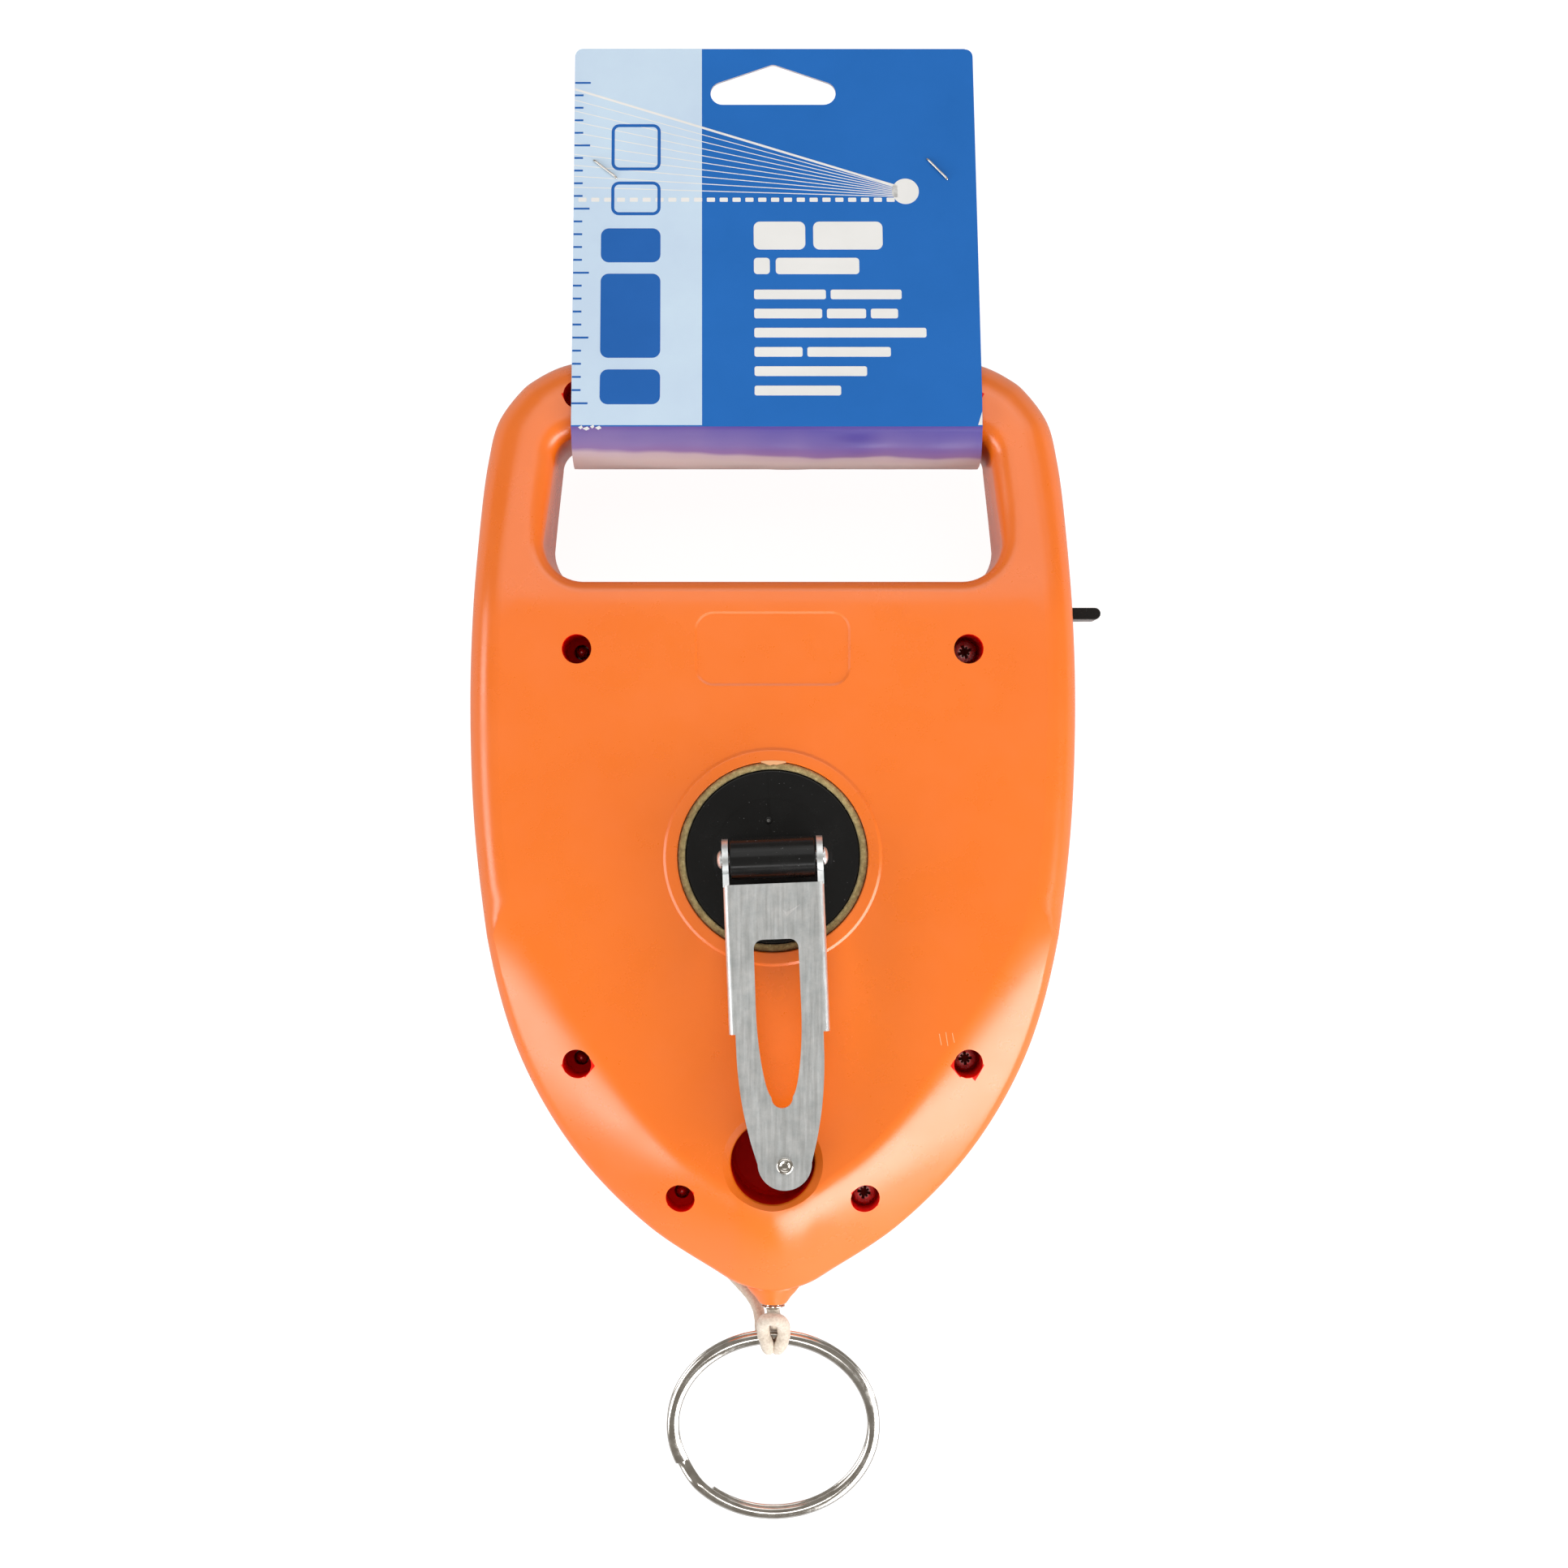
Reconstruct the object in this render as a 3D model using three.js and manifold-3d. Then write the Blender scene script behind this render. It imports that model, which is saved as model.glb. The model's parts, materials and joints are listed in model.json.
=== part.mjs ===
// Chalk line reel: a hand reel that winds a cotton line through a chamber of powdered chalk.
// Millimetres, +Z up. The reel lies on its back: crank on top, handle towards +Y, nozzle towards -Y.
// While it is being built, x and y run from the hub's axis and z from the joint between the case halves.
import * as THREE from "three";
import { mergeVertices } from "three/addons/utils/BufferGeometryUtils.js";
import Module from "manifold-3d";

const wasm = await Module();
wasm.setup();

// Fits
const fit = 0.3; // gap between pieces that touch
const overrun = 3; // how far a cutter passes the face that it cuts
const weld = 0.001; // corners closer than this are one corner

// Case halves
const caseHalfWidth = 75; // beside the hub
const handleReach = 126; // hub to the top of the handle
const bowReach = 111.3; // hub to the blunt end under the nozzle
const faceHeight = 26.5;
const wall = 2.6;
const draft = 1; // how far a side wall leans in by its top
const edgeRadius = 7.5;
const handleEdgeRadius = 9;
const noseEdgeRadius = 3;
const leastEdgeRadius = 0.3; // inside, where the wall is thicker than the edge is round
const slopeStart = 63.6; // where the face starts to fall towards the handle
const handleFall = 9; // how much lower the face would be at the top of the handle
const noseHeight = 7; // rim at the blunt end
// Outline from the blunt end to the top of the handle: shares of the reach and of the half width
const outlineShares = [
  [-1, 0],
  [-0.982, 0.114],
  [-0.947, 0.204],
  [-0.849, 0.422],
  [-0.687, 0.656],
  [-0.503, 0.823],
  [-0.314, 0.921],
  [0.008, 0.996],
  [0.325, 1.017],
  [0.635, 0.991],
  [0.784, 0.964],
  [0.865, 0.931],
  [0.929, 0.856],
  [0.952, 0.811],
  [0.987, 0.687],
  [0.998, 0.373],
  [1, 0],
];
const bevelStart = THREE.MathUtils.degToRad(10); // where the bow's bevel starts, below the x axis
const bevelEase = 0.9;
const bevelRound = 1.35;
const creaseShare = 0.19; // how much of the way from rim to hub the bevel takes
const creaseTurnShare = 0.6; // how far round the bow the bevel takes to reach its full width
const leastCreaseShare = 0.03;

// Hub opening and the raised ring round it
const hubBore = 23.5;
const bossWidth = 3.5;
const bossRadius = hubBore + bossWidth;
const bossRise = 0.5;
const collarDepth = 4; // face to the inner end of the collar that carries the hub

// Spool
const spoolRoom = 16.5; // case half width less the spool's radius
const spoolRadius = caseHalfWidth - spoolRoom;
const shoulderDepth = 2.3; // thickness of a hub's shoulder, between the spool and the collar
const spoolHalf = faceHeight - collarDepth - shoulderDepth - 2 * fit;
const flangeThickness = 1.6;
const coreRadius = 12;
const driveSquare = 13;
const flangeRim = 1.2; // flange left free past the full winding
const windingRadius = spoolRadius - flangeRim;

// Filler gate and the port that it shuts
const gateThickness = 3;
const gateRoom = 2.6; // spool to the middle of the gate's thickness
const gatePlace = spoolRadius + gateRoom;
const gateHalf = 8;
const gateStart = 12;
const tabHalf = 6;
const tabRoot = 3; // how far inside the widest place of the case the tab starts
const tabStart = caseHalfWidth - tabRoot;
const tabProud = 7.9;
const gateReach = caseHalfWidth + tabProud; // hub to the end of the tab
const gateLap = 2; // how far the shut gate reaches past the port's end
const portStart = gateStart + gateLap;
const portLength = 26;
const portEnd = portStart + portLength;
const portLap = 1.5; // how far the gate reaches past the port's sides
const portHalf = gateHalf - portLap;
const railThickness = 1.1;
const railLap = 4; // how far the rail goes on past the shut gate's end
const railStart = gateStart - railLap;
const railWall = 2.7;

// Finger opening
const openingRoom = 7; // middle of the gate to the opening
const openingFloor = gatePlace + openingRoom;
const barThickness = 21.7;
const openingTop = handleReach - barThickness;
const armWidth = 18.1;
const openingFloorHalf = caseHalfWidth - armWidth;
const openingTaper = 2.5; // how much less the half width is at the top
const openingTopHalf = openingFloorHalf - openingTaper;
const openingHalfHeight = (openingTop - openingFloor) / 2;
const floorCorner = 10;
const openingFloorRadius = Math.min(floorCorner, openingHalfHeight);
const topCorner = 5.5;
const openingTopRadius = Math.min(topCorner, openingHalfHeight);
const lipFloorRadius = 3;
const lipSideRadius = 5.6;

// Pocket for the folded knob
const knobRadius = 6.25;
const knobRoom = 4.15; // gap round the knob when it is in the middle of its pocket
const pocketRadius = knobRadius + knobRoom;
const pocketFlare = 1.2;
const pocketFloor = 5; // floor above the joint plane
const pocketWall = 2;
const pocketRoom = 3.9; // spool to the pocket's wall
const rivetPlace = spoolRadius + pocketRoom + pocketWall + pocketRadius; // hub to the knob
const pocketLead = 0.7;
const pocketPlace = rivetPlace + pocketLead; // hub to the pocket

// Label recess
const labelWidth = 37.2;
const labelHeight = 17.2;
const labelRadius = 4;
const labelDepth = 0.3;
const labelRoom = 16.7; // middle of the label to the finger opening
const labelPlace = openingFloor - labelRoom;

// Screws and their wells
const wellRadius = 3.65;
const wellWall = 1.95;
const screwBossRadius = wellRadius + wellWall;
const headSeat = 5; // joint plane to the floor of a well
const headGap = 0.45;
const headRadius = wellRadius - headGap;
const headHeight = 2.2;
const shankRadius = 1.6;
const screwTail = 1.6; // how far the tip passes the far well's floor
const recessLength = 3.6;
const recessWidth = 0.8;
const recessDepth = 1.2;
const screwRoom = 6.45; // spool to the boss of a screw beside it
const spoolScrewReach = spoolRadius + screwRoom + screwBossRadius;
const spoolScrewTurns = [46.7, -46.6]; // degrees from the x axis
const barScrewDrop = 11; // top of the handle to the screws in its bar
const barScrewInset = 26.5; // side of the case to the same
const bowScrewInset = 26.3; // blunt end to the screws in the bow
const bowScrewHalf = 23; // half the distance between them

// Line
const lineRadius = 1.5;
const lineFit = 0.4; // gap round the line in a hole

// Eyelet in the nozzle
const eyeletWall = 0.6;
const eyeletRadius = lineRadius + lineFit + eyeletWall;
const eyeletLip = 0.6;
const eyeletFlangeDepth = 0.5;
const eyeletLength = 10;

// Nozzle: lengths along it are measured from the blunt end of the bow
const nozzleWall = 0.45;
const nozzleTipRadius = eyeletRadius + fit + nozzleWall;
const nozzleWaistRadius = 4.7;
const nozzleBaseRadius = 6.6;
const nozzleRootRadius = 7.4;
const nozzleRootDepth = 7.3;
const nozzleBaseDepth = 1.2;
const nozzleWaistRise = 1;
const nozzleRise = 3;
const nozzleTip = bowReach + nozzleRise;

// Felt wiper behind the nozzle
const wiperHalf = 9;
const wiperRoom = 8.3; // blunt end to the face next to the nozzle
const wiperFront = bowReach - wiperRoom;
const wiperDepth = 6;
const wiperHeight = 13;
const cradleWall = 2.2;
const cradleWindow = 5;

// Hubs and their seals
const sealWidth = 1.75;
const sealRadius = hubBore - fit / 2;
const discRadius = sealRadius - sealWidth - fit;
const discRecess = 0.2; // how far the disc lies below the face
const hubGap = 0.4; // gap between a hub and the bore that carries it
const hubBodyRadius = hubBore - hubGap;
const sealDepth = 2.6;
const shoulderLap = 2.5;
const shoulderRadius = hubBore + shoulderLap;
const spigotEnd = 1; // joint plane to the end of a hub's spigot

// Crank hinge
const armRise = 5.5; // pin to the top of the arm
const armClear = 1; // gap between the case and the arm when it is folded over
const pinHeight = faceHeight + bossRise + armRise + armClear;
const barrelRadius = 5.1;
const barrelHalf = 10.5;
const saddleHalf = 3.5;
const pinRadius = 1.5;
const pinHeadRadius = 2.2;
const pinHeadDepth = 1;

// Crank arm
const crankYaw = THREE.MathUtils.degToRad(2.3);
const sheet = 1.5;
const earRadius = 5;
const webGap = 1.05;
const webStart = barrelRadius + webGap; // pin to the near edge of the web
const flangeEnd = 42.5;
const flangeToe = 0.4; // how far each flange leans in at its end
const flangeTip = 0.5; // lower edge of a flange at its end, above the pin
const tipLap = 6; // how far the arm goes on past the knob's rivet
const armTip = rivetPlace + tipLap;
const armTipHalf = 6.6;
const slotStart = 19.7;
const slotRoom = 14; // knob's rivet to the slot
const slotEnd = rivetPlace - slotRoom;
const slotHalf = 5.45;
const slotRadius = 2.2;
const slotEndHalf = 2.6;
// Edge of the arm past the flanges: shares of the way from flange end to rivet, and of the width there
const armEdgeShares = [
  [0, 0.87],
  [0.263, 0.858],
  [0.526, 0.797],
  [0.789, 0.67],
];
// Edge of the slot where it narrows: shares of its length and of its half width
const slotEdgeShares = [
  [0.59, 0.98],
  [0.8, 0.78],
  [0.907, 0.61],
];

// Knob and its rivet
const knobLength = 26;
// Outline of the knob from the arm down: shares of its length and of its radius
const knobShares = [
  [0, 0.8],
  [0.03, 0.88],
  [0.12, 0.9],
  [0.3, 0.95],
  [0.7, 1],
  [0.9, 0.98],
  [0.97, 0.88],
  [1, 0.7],
];
const rivetRadius = 1.25;
const rivetHeadRadius = 2.05;
const rivetHeadDepth = 0.6;
const rivetFootRadius = 2.6;
const rivetFootDepth = 0.8;

// Split ring
const ringRadius = 27.65;
const ringWidth = 3.2;
const ringCoil = 1.4;
const ringGap = 0.4;
const ringCorner = 0.45;
const ringTilt = THREE.MathUtils.degToRad(20);
const ringStep = THREE.MathUtils.degToRad(217); // where one coil steps over to the other
const ringStepTurn = THREE.MathUtils.degToRad(14);
const ringRoom = 9.7; // nozzle to the middle of the ring's wire in the hitch
const ringPlace = nozzleTip + ringRoom;

// Line's end: it comes out of the nozzle, is hitched round the ring's wire, and ends in a short tail
const hitchStart = 60; // degrees round the ring's wire, from +Y over the top
const hitchEnd = 632;
const hitchTurnStep = 26;
const hitchPitch = 3.4;
const hitchSide = 2.2;
const hitchFit = 0.4;
// The tail runs under the bow and lies on the surface that the reel lies on.
const tailRoute = [
  [-3.25, -123.5, -11],
  [-3.3, -121.6, -11.1],
  [-3.5, -119.4, -11.6],
  [-4.1, -117.2, -12.5],
  [-5.3, -115.1, -13.8],
  [-6.9, -113.3, -15.3],
  [-8.5, -111.8, -16.9],
  [-10.1, -110.4, -18.6],
  [-11.7, -108.9, -20.3],
  [-13.2, -107.2, -22],
  [-14.7, -105.2, -23.5],
  [-16.1, -102.9, -24.6],
  [-17.4, -100.4, -25.2],
  [-18.6, -97.8, -25.4],
  [-19.7, -95.2, -25.4],
  [-20.6, -92.6, -25.4],
];

// Hang card
const cardThickness = 0.7;
const cardLeftGap = 4.4; // card to the side of the finger opening
const cardRightGap = 2.4;
const cardLeft = openingTopHalf - cardLeftGap;
const cardRight = openingTopHalf - cardRightGap;
const cardRise = 80.7; // top of the handle to the top of the card
const cardTop = handleReach + cardRise;
const joinRise = 45; // top of the handle to where the two layers meet
const cardJoin = handleReach + joinRise;
const cardFall = 0.2994; // drop of the front layer for each unit towards the top
// Wrap of the card round the handle bar: shares of the bar's depth and of its half height
const cardFoldShare = 0.1;
const cardWrapShares = [
  [-0.15, 1.0],
  [-0.28, 0.58],
  [-0.27, 0],
  [-0.23, -0.58],
  [-0.13, -0.97],
  [0.04, -1.147],
  [0.355, -1.137],
  [0.72, -0.98],
  [1.18, -0.716],
];
const hangHalf = 16;
const hangRoom = 4.3; // hang slot to the top of the card
const hangDepth = 10.9;
const hangHigh = cardTop - hangRoom;
const hangLow = hangHigh - hangDepth;
const hangEndRadius = 3.1;
const hangPeakRadius = 2;

// Staples
const stapleWire = 0.6;
const stapleRise = 2.8; // how far above the card's join the staples are
const staplePlace = cardJoin + stapleRise;
const stapleHalf = 4.1;
const stapleLeftInset = 7.4;
const stapleRightInset = 10.35;
const stapleCentres = [stapleLeftInset - cardLeft, cardRight - stapleRightInset];
const stapleTurns = [THREE.MathUtils.degToRad(-40), THREE.MathUtils.degToRad(-48)];
const stapleHole = 0.3;

// Counts
const outlineSteps = 64;
const edgeSteps = 4;
const hollowSteps = 32;
const hollowEdgeSteps = 2;
const fineRound = 32;
const midRound = 20;
const smallRound = 12;
const hiddenRound = 8;
const cornerSteps = 4;
const lipSteps = 3;
const lineSides = 8;
const lineRunSteps = 18;
const hitchSteps = 38;
const tailSteps = 14;
const ringSteps = 44;

// Materials
function finish(color, roughness, metalness) {
  return new THREE.MeshStandardMaterial({ color, roughness, metalness });
}
const orangePlastic = finish(0xfd7f33, 0.35, 0);
const blackPlastic = finish(0x1c1c1e, 0.3, 0);
const naturalPlastic = finish(0xe8e6df, 0.5, 0);
const zincSteel = finish(0xb4bcc0, 0.35, 0.9);
const brightSteel = finish(0xd8d6d2, 0.2, 1);
const khakiFelt = finish(0x8c7a55, 0.95, 0);
const whiteCotton = finish(0xe9e4d8, 0.95, 0);
const blueCard = finish(0x3c6fa6, 0.6, 0);

// Solids from geometries
function toSolid(geometry) {
  const loose = geometry.index ? geometry.toNonIndexed() : geometry;
  const plain = new THREE.BufferGeometry();
  plain.setAttribute("position", loose.getAttribute("position"));
  const merged = mergeVertices(plain, weld);
  const mesh = new wasm.Mesh({
    numProp: 3,
    vertProperties: merged.getAttribute("position").array,
    triVerts: new Uint32Array(merged.index.array),
  });
  return new wasm.Manifold(mesh);
}

function toGeometry(solid) {
  const mesh = solid.getMesh();
  const geometry = new THREE.BufferGeometry();
  geometry.setAttribute("position", new THREE.BufferAttribute(mesh.vertProperties, 3));
  geometry.setIndex(new THREE.BufferAttribute(mesh.triVerts, 1));
  geometry.computeVertexNormals();
  return geometry;
}

function namedMesh(name, solid, material) {
  const mesh = new THREE.Mesh(toGeometry(solid), material);
  mesh.name = name;
  return mesh;
}

function box(x0, x1, y0, y1, z0, z1) {
  const geometry = new THREE.BoxGeometry(x1 - x0, y1 - y0, z1 - z0);
  geometry.translate((x0 + x1) / 2, (y0 + y1) / 2, (z0 + z1) / 2);
  return toSolid(geometry);
}

// A solid of revolution about +Z. The profile's points are [radius, height] pairs, going round so that
// the solid lies on their left.
function revolve(profile, steps) {
  const points = profile.map(([radius, height]) => new THREE.Vector2(radius, height));
  if (profile[0][0] > 0) {
    points.push(points[0].clone());
  }
  const geometry = new THREE.LatheGeometry(points, steps);
  geometry.rotateX(Math.PI / 2);
  return toSolid(geometry);
}

function cylinder(radius, low, high, steps) {
  return revolve([[0, low], [radius, low], [radius, high], [0, high]], steps);
}

function tube(inner, outer, low, high, steps) {
  return revolve([[inner, low], [outer, low], [outer, high], [inner, high]], steps);
}

const alongX = [0, 90, 0];
const alongMinusY = [90, 0, 0];

function extrude(shape, low, high) {
  const geometry = new THREE.ExtrudeGeometry(shape, {
    depth: high - low,
    bevelEnabled: false,
    curveSegments: cornerSteps,
  });
  geometry.translate(0, 0, low);
  return toSolid(geometry);
}

// Extrudes a shape drawn in y and z along x.
function extrudeAlongX(shape, low, high) {
  const geometry = new THREE.ExtrudeGeometry(shape, {
    depth: high - low,
    bevelEnabled: false,
    curveSegments: cornerSteps,
  });
  geometry.translate(0, 0, low);
  const x = new THREE.Vector3(1, 0, 0);
  const y = new THREE.Vector3(0, 1, 0);
  const z = new THREE.Vector3(0, 0, 1);
  geometry.applyMatrix4(new THREE.Matrix4().makeBasis(y, z, x));
  return geometry;
}

function roundedRectangle(halfWidth, halfHeight, radius, centreY) {
  const shape = new THREE.Shape();
  shape.absarc(halfWidth - radius, centreY - halfHeight + radius, radius, -Math.PI / 2, 0, false);
  shape.absarc(halfWidth - radius, centreY + halfHeight - radius, radius, 0, Math.PI / 2, false);
  shape.absarc(radius - halfWidth, centreY + halfHeight - radius, radius, Math.PI / 2, Math.PI, false);
  shape.absarc(radius - halfWidth, centreY - halfHeight + radius, radius, Math.PI, Math.PI * 1.5, false);
  return shape;
}

// Joins rings of equally many points, each going round anticlockwise seen from above, bottom ring first.
function loft(rings, bottom, top) {
  const corners = [];
  const count = rings[0].length;
  for (let i = 0; i < count; i += 1) {
    const next = (i + 1) % count;
    corners.push(bottom, rings[0][next], rings[0][i]);
    for (let k = 0; k + 1 < rings.length; k += 1) {
      corners.push(rings[k][i], rings[k][next], rings[k + 1][next]);
      corners.push(rings[k][i], rings[k + 1][next], rings[k + 1][i]);
    }
    const last = rings[rings.length - 1];
    corners.push(top, last[i], last[next]);
  }
  return toSolid(new THREE.BufferGeometry().setFromPoints(corners));
}

// A round bar of the line's size along a curve.
function lineAlong(points, steps) {
  const section = new THREE.Shape();
  for (let i = 0; i < lineSides; i += 1) {
    const angle = (2 * Math.PI * i) / lineSides;
    const x = lineRadius * Math.cos(angle);
    const y = lineRadius * Math.sin(angle);
    if (i === 0) {
      section.moveTo(x, y);
    } else {
      section.lineTo(x, y);
    }
  }
  const path = new THREE.CatmullRomCurve3(points, false, "centripetal");
  const geometry = new THREE.ExtrudeGeometry(section, { steps, extrudePath: path });
  return toSolid(geometry);
}

// Case outline
function outlineCurve() {
  const right = outlineShares.map(([alongShare, acrossShare]) => {
    const reach = alongShare < 0 ? bowReach : handleReach;
    return new THREE.Vector3(acrossShare * caseHalfWidth, alongShare * reach, 0);
  });
  const inner = right.slice(1, -1).reverse();
  const left = inner.map((point) => new THREE.Vector3(-point.x, point.y, 0));
  const curve = new THREE.CatmullRomCurve3([...right, ...left], true, "centripetal");
  curve.arcLengthDivisions = 12 * outlineSteps;
  return curve;
}

const caseOutline = outlineCurve();

function bevelTurn(point) {
  const below = Math.atan2(-point.y, Math.abs(point.x));
  return THREE.MathUtils.clamp((below - bevelStart) / (Math.PI / 2 - bevelStart), 0, 1);
}

function handleDrop(y) {
  return (handleFall * Math.max(0, y - slopeStart)) / (handleReach - slopeStart);
}

function edgeRadiusAt(point) {
  const turn = bevelTurn(point);
  const nose = THREE.MathUtils.lerp(edgeRadius, noseEdgeRadius, turn * turn);
  const towardsHandle = THREE.MathUtils.smoothstep(point.y, slopeStart, openingTop);
  return THREE.MathUtils.lerp(nose, handleEdgeRadius, towardsHandle);
}

// The outer form of one case half, or with an inset the hollow that leaves a wall of that thickness.
function caseForm(inset, floor, steps, edgeCount) {
  const rings = Array.from({ length: edgeCount + 4 }, () => []);
  for (let i = 0; i < steps; i += 1) {
    const share = i / steps;
    const onOutline = caseOutline.getPointAt(share);
    const tangent = caseOutline.getTangentAt(share);
    const inward = new THREE.Vector3(-tangent.y, tangent.x, 0);
    const radius = Math.max(edgeRadiusAt(onOutline) - inset, leastEdgeRadius);
    const at = (distance, z) => onOutline.clone().addScaledVector(inward, inset + distance).setZ(z);
    const turn = bevelTurn(onOutline);
    const drop = (faceHeight - noseHeight) * turn ** bevelEase;
    const rimPoint = at(draft + radius, 0);
    const rim = Math.hypot(rimPoint.x, rimPoint.y);
    const bevel = creaseShare * Math.sin((Math.PI / 2) * Math.min(1, turn / creaseTurnShare));
    let crease = rim * (1 - Math.max(leastCreaseShare, bevel));
    if (rimPoint.y > slopeStart) {
      crease = Math.min(crease, (rim * slopeStart) / rimPoint.y);
    }
    const lean = Math.atan2(bevelRound * drop, rim - crease);
    const sweep = Math.PI / 2 - (drop > 0 ? lean : 0);
    const edgeInset = draft + radius * (1 - Math.cos(sweep));
    const edge = at(edgeInset, 0);
    const edgeReach = Math.hypot(edge.x, edge.y);
    const heightAt = (x, y) => {
      const past = Math.max(0, Math.hypot(x, y) - crease) / (edgeReach - crease);
      return faceHeight - inset - drop * past ** bevelRound - handleDrop(y);
    };
    const rimHeight = heightAt(edge.x, edge.y);
    const wallTop = rimHeight - radius * Math.sin(sweep);
    rings[0].push(at(0, floor));
    for (let k = 0; k <= edgeCount; k += 1) {
      const angle = (sweep * k) / edgeCount;
      const distance = draft + radius * (1 - Math.cos(angle));
      rings[k + 1].push(at(distance, wallTop + radius * Math.sin(angle)));
    }
    const midway = (edgeReach + crease) / 2;
    [midway, crease].forEach((reach, k) => {
      const x = (edge.x * reach) / edgeReach;
      const y = (edge.y * reach) / edgeReach;
      rings[edgeCount + 2 + k].push(new THREE.Vector3(x, y, heightAt(x, y)));
    });
  }
  const bottom = new THREE.Vector3(0, 0, floor);
  const top = new THREE.Vector3(0, 0, faceHeight - inset);
  return loft(rings, bottom, top);
}

// How far the edge of the finger opening is rounded: less along its floor than round the handle.
function lipRadiusAt(y) {
  const up = THREE.MathUtils.smoothstep(y, openingFloor, openingFloor + 2 * openingFloorRadius);
  return THREE.MathUtils.lerp(lipFloorRadius, lipSideRadius, up);
}

// Finger opening grown by some distance all round.
function openingShape(grow) {
  const floorRadius = openingFloorRadius + grow;
  const topRadius = openingTopRadius + grow;
  const low = openingFloor - grow;
  const high = openingTop + grow;
  const lowX = openingFloorHalf + grow - floorRadius;
  const highX = openingTopHalf + grow - topRadius;
  const shape = new THREE.Shape();
  shape.absarc(lowX, low + floorRadius, floorRadius, -Math.PI / 2, 0, false);
  shape.absarc(highX, high - topRadius, topRadius, 0, Math.PI / 2, false);
  shape.absarc(-highX, high - topRadius, topRadius, Math.PI / 2, Math.PI, false);
  shape.absarc(-lowX, low + floorRadius, floorRadius, Math.PI, Math.PI * 1.5, false);
  return shape;
}

// Cutter for the finger opening, whose edge is rounded where it meets the sloping face.
function openingCutter() {
  const edge = openingShape(0).getPoints(cornerSteps);
  const grown = openingShape(1).getPoints(cornerSteps);
  const outward = edge.map((p, i) => grown[i].clone().sub(p));
  const ring = (growShare, heightAt) => {
    return edge.map((p, i) => {
      const radius = lipRadiusAt(p.y);
      const q = p.clone().addScaledVector(outward[i], growShare * radius);
      return new THREE.Vector3(q.x, q.y, heightAt(faceHeight - handleDrop(q.y), radius));
    });
  };
  const rings = [ring(0, () => -overrun)];
  for (let k = 0; k <= lipSteps; k += 1) {
    const angle = (Math.PI / 2) * (k / lipSteps);
    rings.push(ring(1 - Math.cos(angle), (face, radius) => face - radius * (1 - Math.sin(angle))));
  }
  rings.push(ring(1, (face) => face + overrun));
  const middle = (openingFloor + openingTop) / 2;
  const bottom = new THREE.Vector3(0, middle, -overrun);
  const top = new THREE.Vector3(0, middle, faceHeight - handleDrop(middle) + overrun);
  return loft(rings, bottom, top);
}

function nozzleForm() {
  const root = bowReach - nozzleRootDepth;
  const profile = [
    [0, root],
    [nozzleRootRadius, root],
    [nozzleBaseRadius, bowReach - nozzleBaseDepth],
    [nozzleWaistRadius, bowReach + nozzleWaistRise],
    [nozzleTipRadius, nozzleTip],
    [0, nozzleTip],
  ];
  return revolve(profile, midRound).rotate(alongMinusY);
}

function screwPlaces() {
  const rightPlaces = [[caseHalfWidth - barScrewInset, handleReach - barScrewDrop]];
  for (const degrees of spoolScrewTurns) {
    const turn = THREE.MathUtils.degToRad(degrees);
    rightPlaces.push([spoolScrewReach * Math.cos(turn), spoolScrewReach * Math.sin(turn)]);
  }
  rightPlaces.push([bowScrewHalf, bowScrewInset - bowReach]);
  return rightPlaces.flatMap(([x, y]) => [[x, y], [-x, y]]);
}

// The hollow of one half, less what stands in it. The gate comes out on the side given by gateSide.
function caseHollow(gateSide) {
  const ceiling = faceHeight + overrun;
  let hollow = caseForm(wall, -overrun, hollowSteps, hollowEdgeSteps);
  hollow = hollow.subtract(extrude(openingShape(wall), -overrun, ceiling));
  hollow = hollow.subtract(cylinder(bossRadius, faceHeight - collarDepth, ceiling, fineRound));
  const pocket = cylinder(pocketRadius + pocketWall, pocketFloor - pocketWall, ceiling, 2 * hiddenRound);
  hollow = hollow.subtract(pocket.translate([0, -pocketPlace, 0]));
  for (const [x, y] of screwPlaces()) {
    const boss = cylinder(screwBossRadius, -overrun, ceiling, hiddenRound);
    hollow = hollow.subtract(boss.translate([x, y, 0]));
  }
  const cradleHalf = wiperHalf + fit + cradleWall;
  const cradleBack = wiperDepth - wiperFront + fit + cradleWall;
  hollow = hollow.subtract(box(-cradleHalf, cradleHalf, -bowReach, cradleBack, -overrun, ceiling));
  const railLow = gatePlace - gateThickness / 2 - fit - railThickness;
  const railEnds = [gateSide * railStart, gateSide * caseHalfWidth].sort((a, b) => a - b);
  const railHigh = gateHalf + fit + railWall;
  hollow = hollow.subtract(box(...railEnds, railLow, openingFloor, -overrun, railHigh));
  return hollow;
}

function pocketCutter() {
  const rim = pocketRadius + pocketFlare;
  const profile = [
    [0, pocketFloor],
    [pocketRadius, pocketFloor],
    [pocketRadius, faceHeight - pocketFlare],
    [rim, faceHeight],
    [rim, faceHeight + overrun],
    [0, faceHeight + overrun],
  ];
  return revolve(profile, midRound).translate([0, -pocketPlace, 0]);
}

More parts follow.
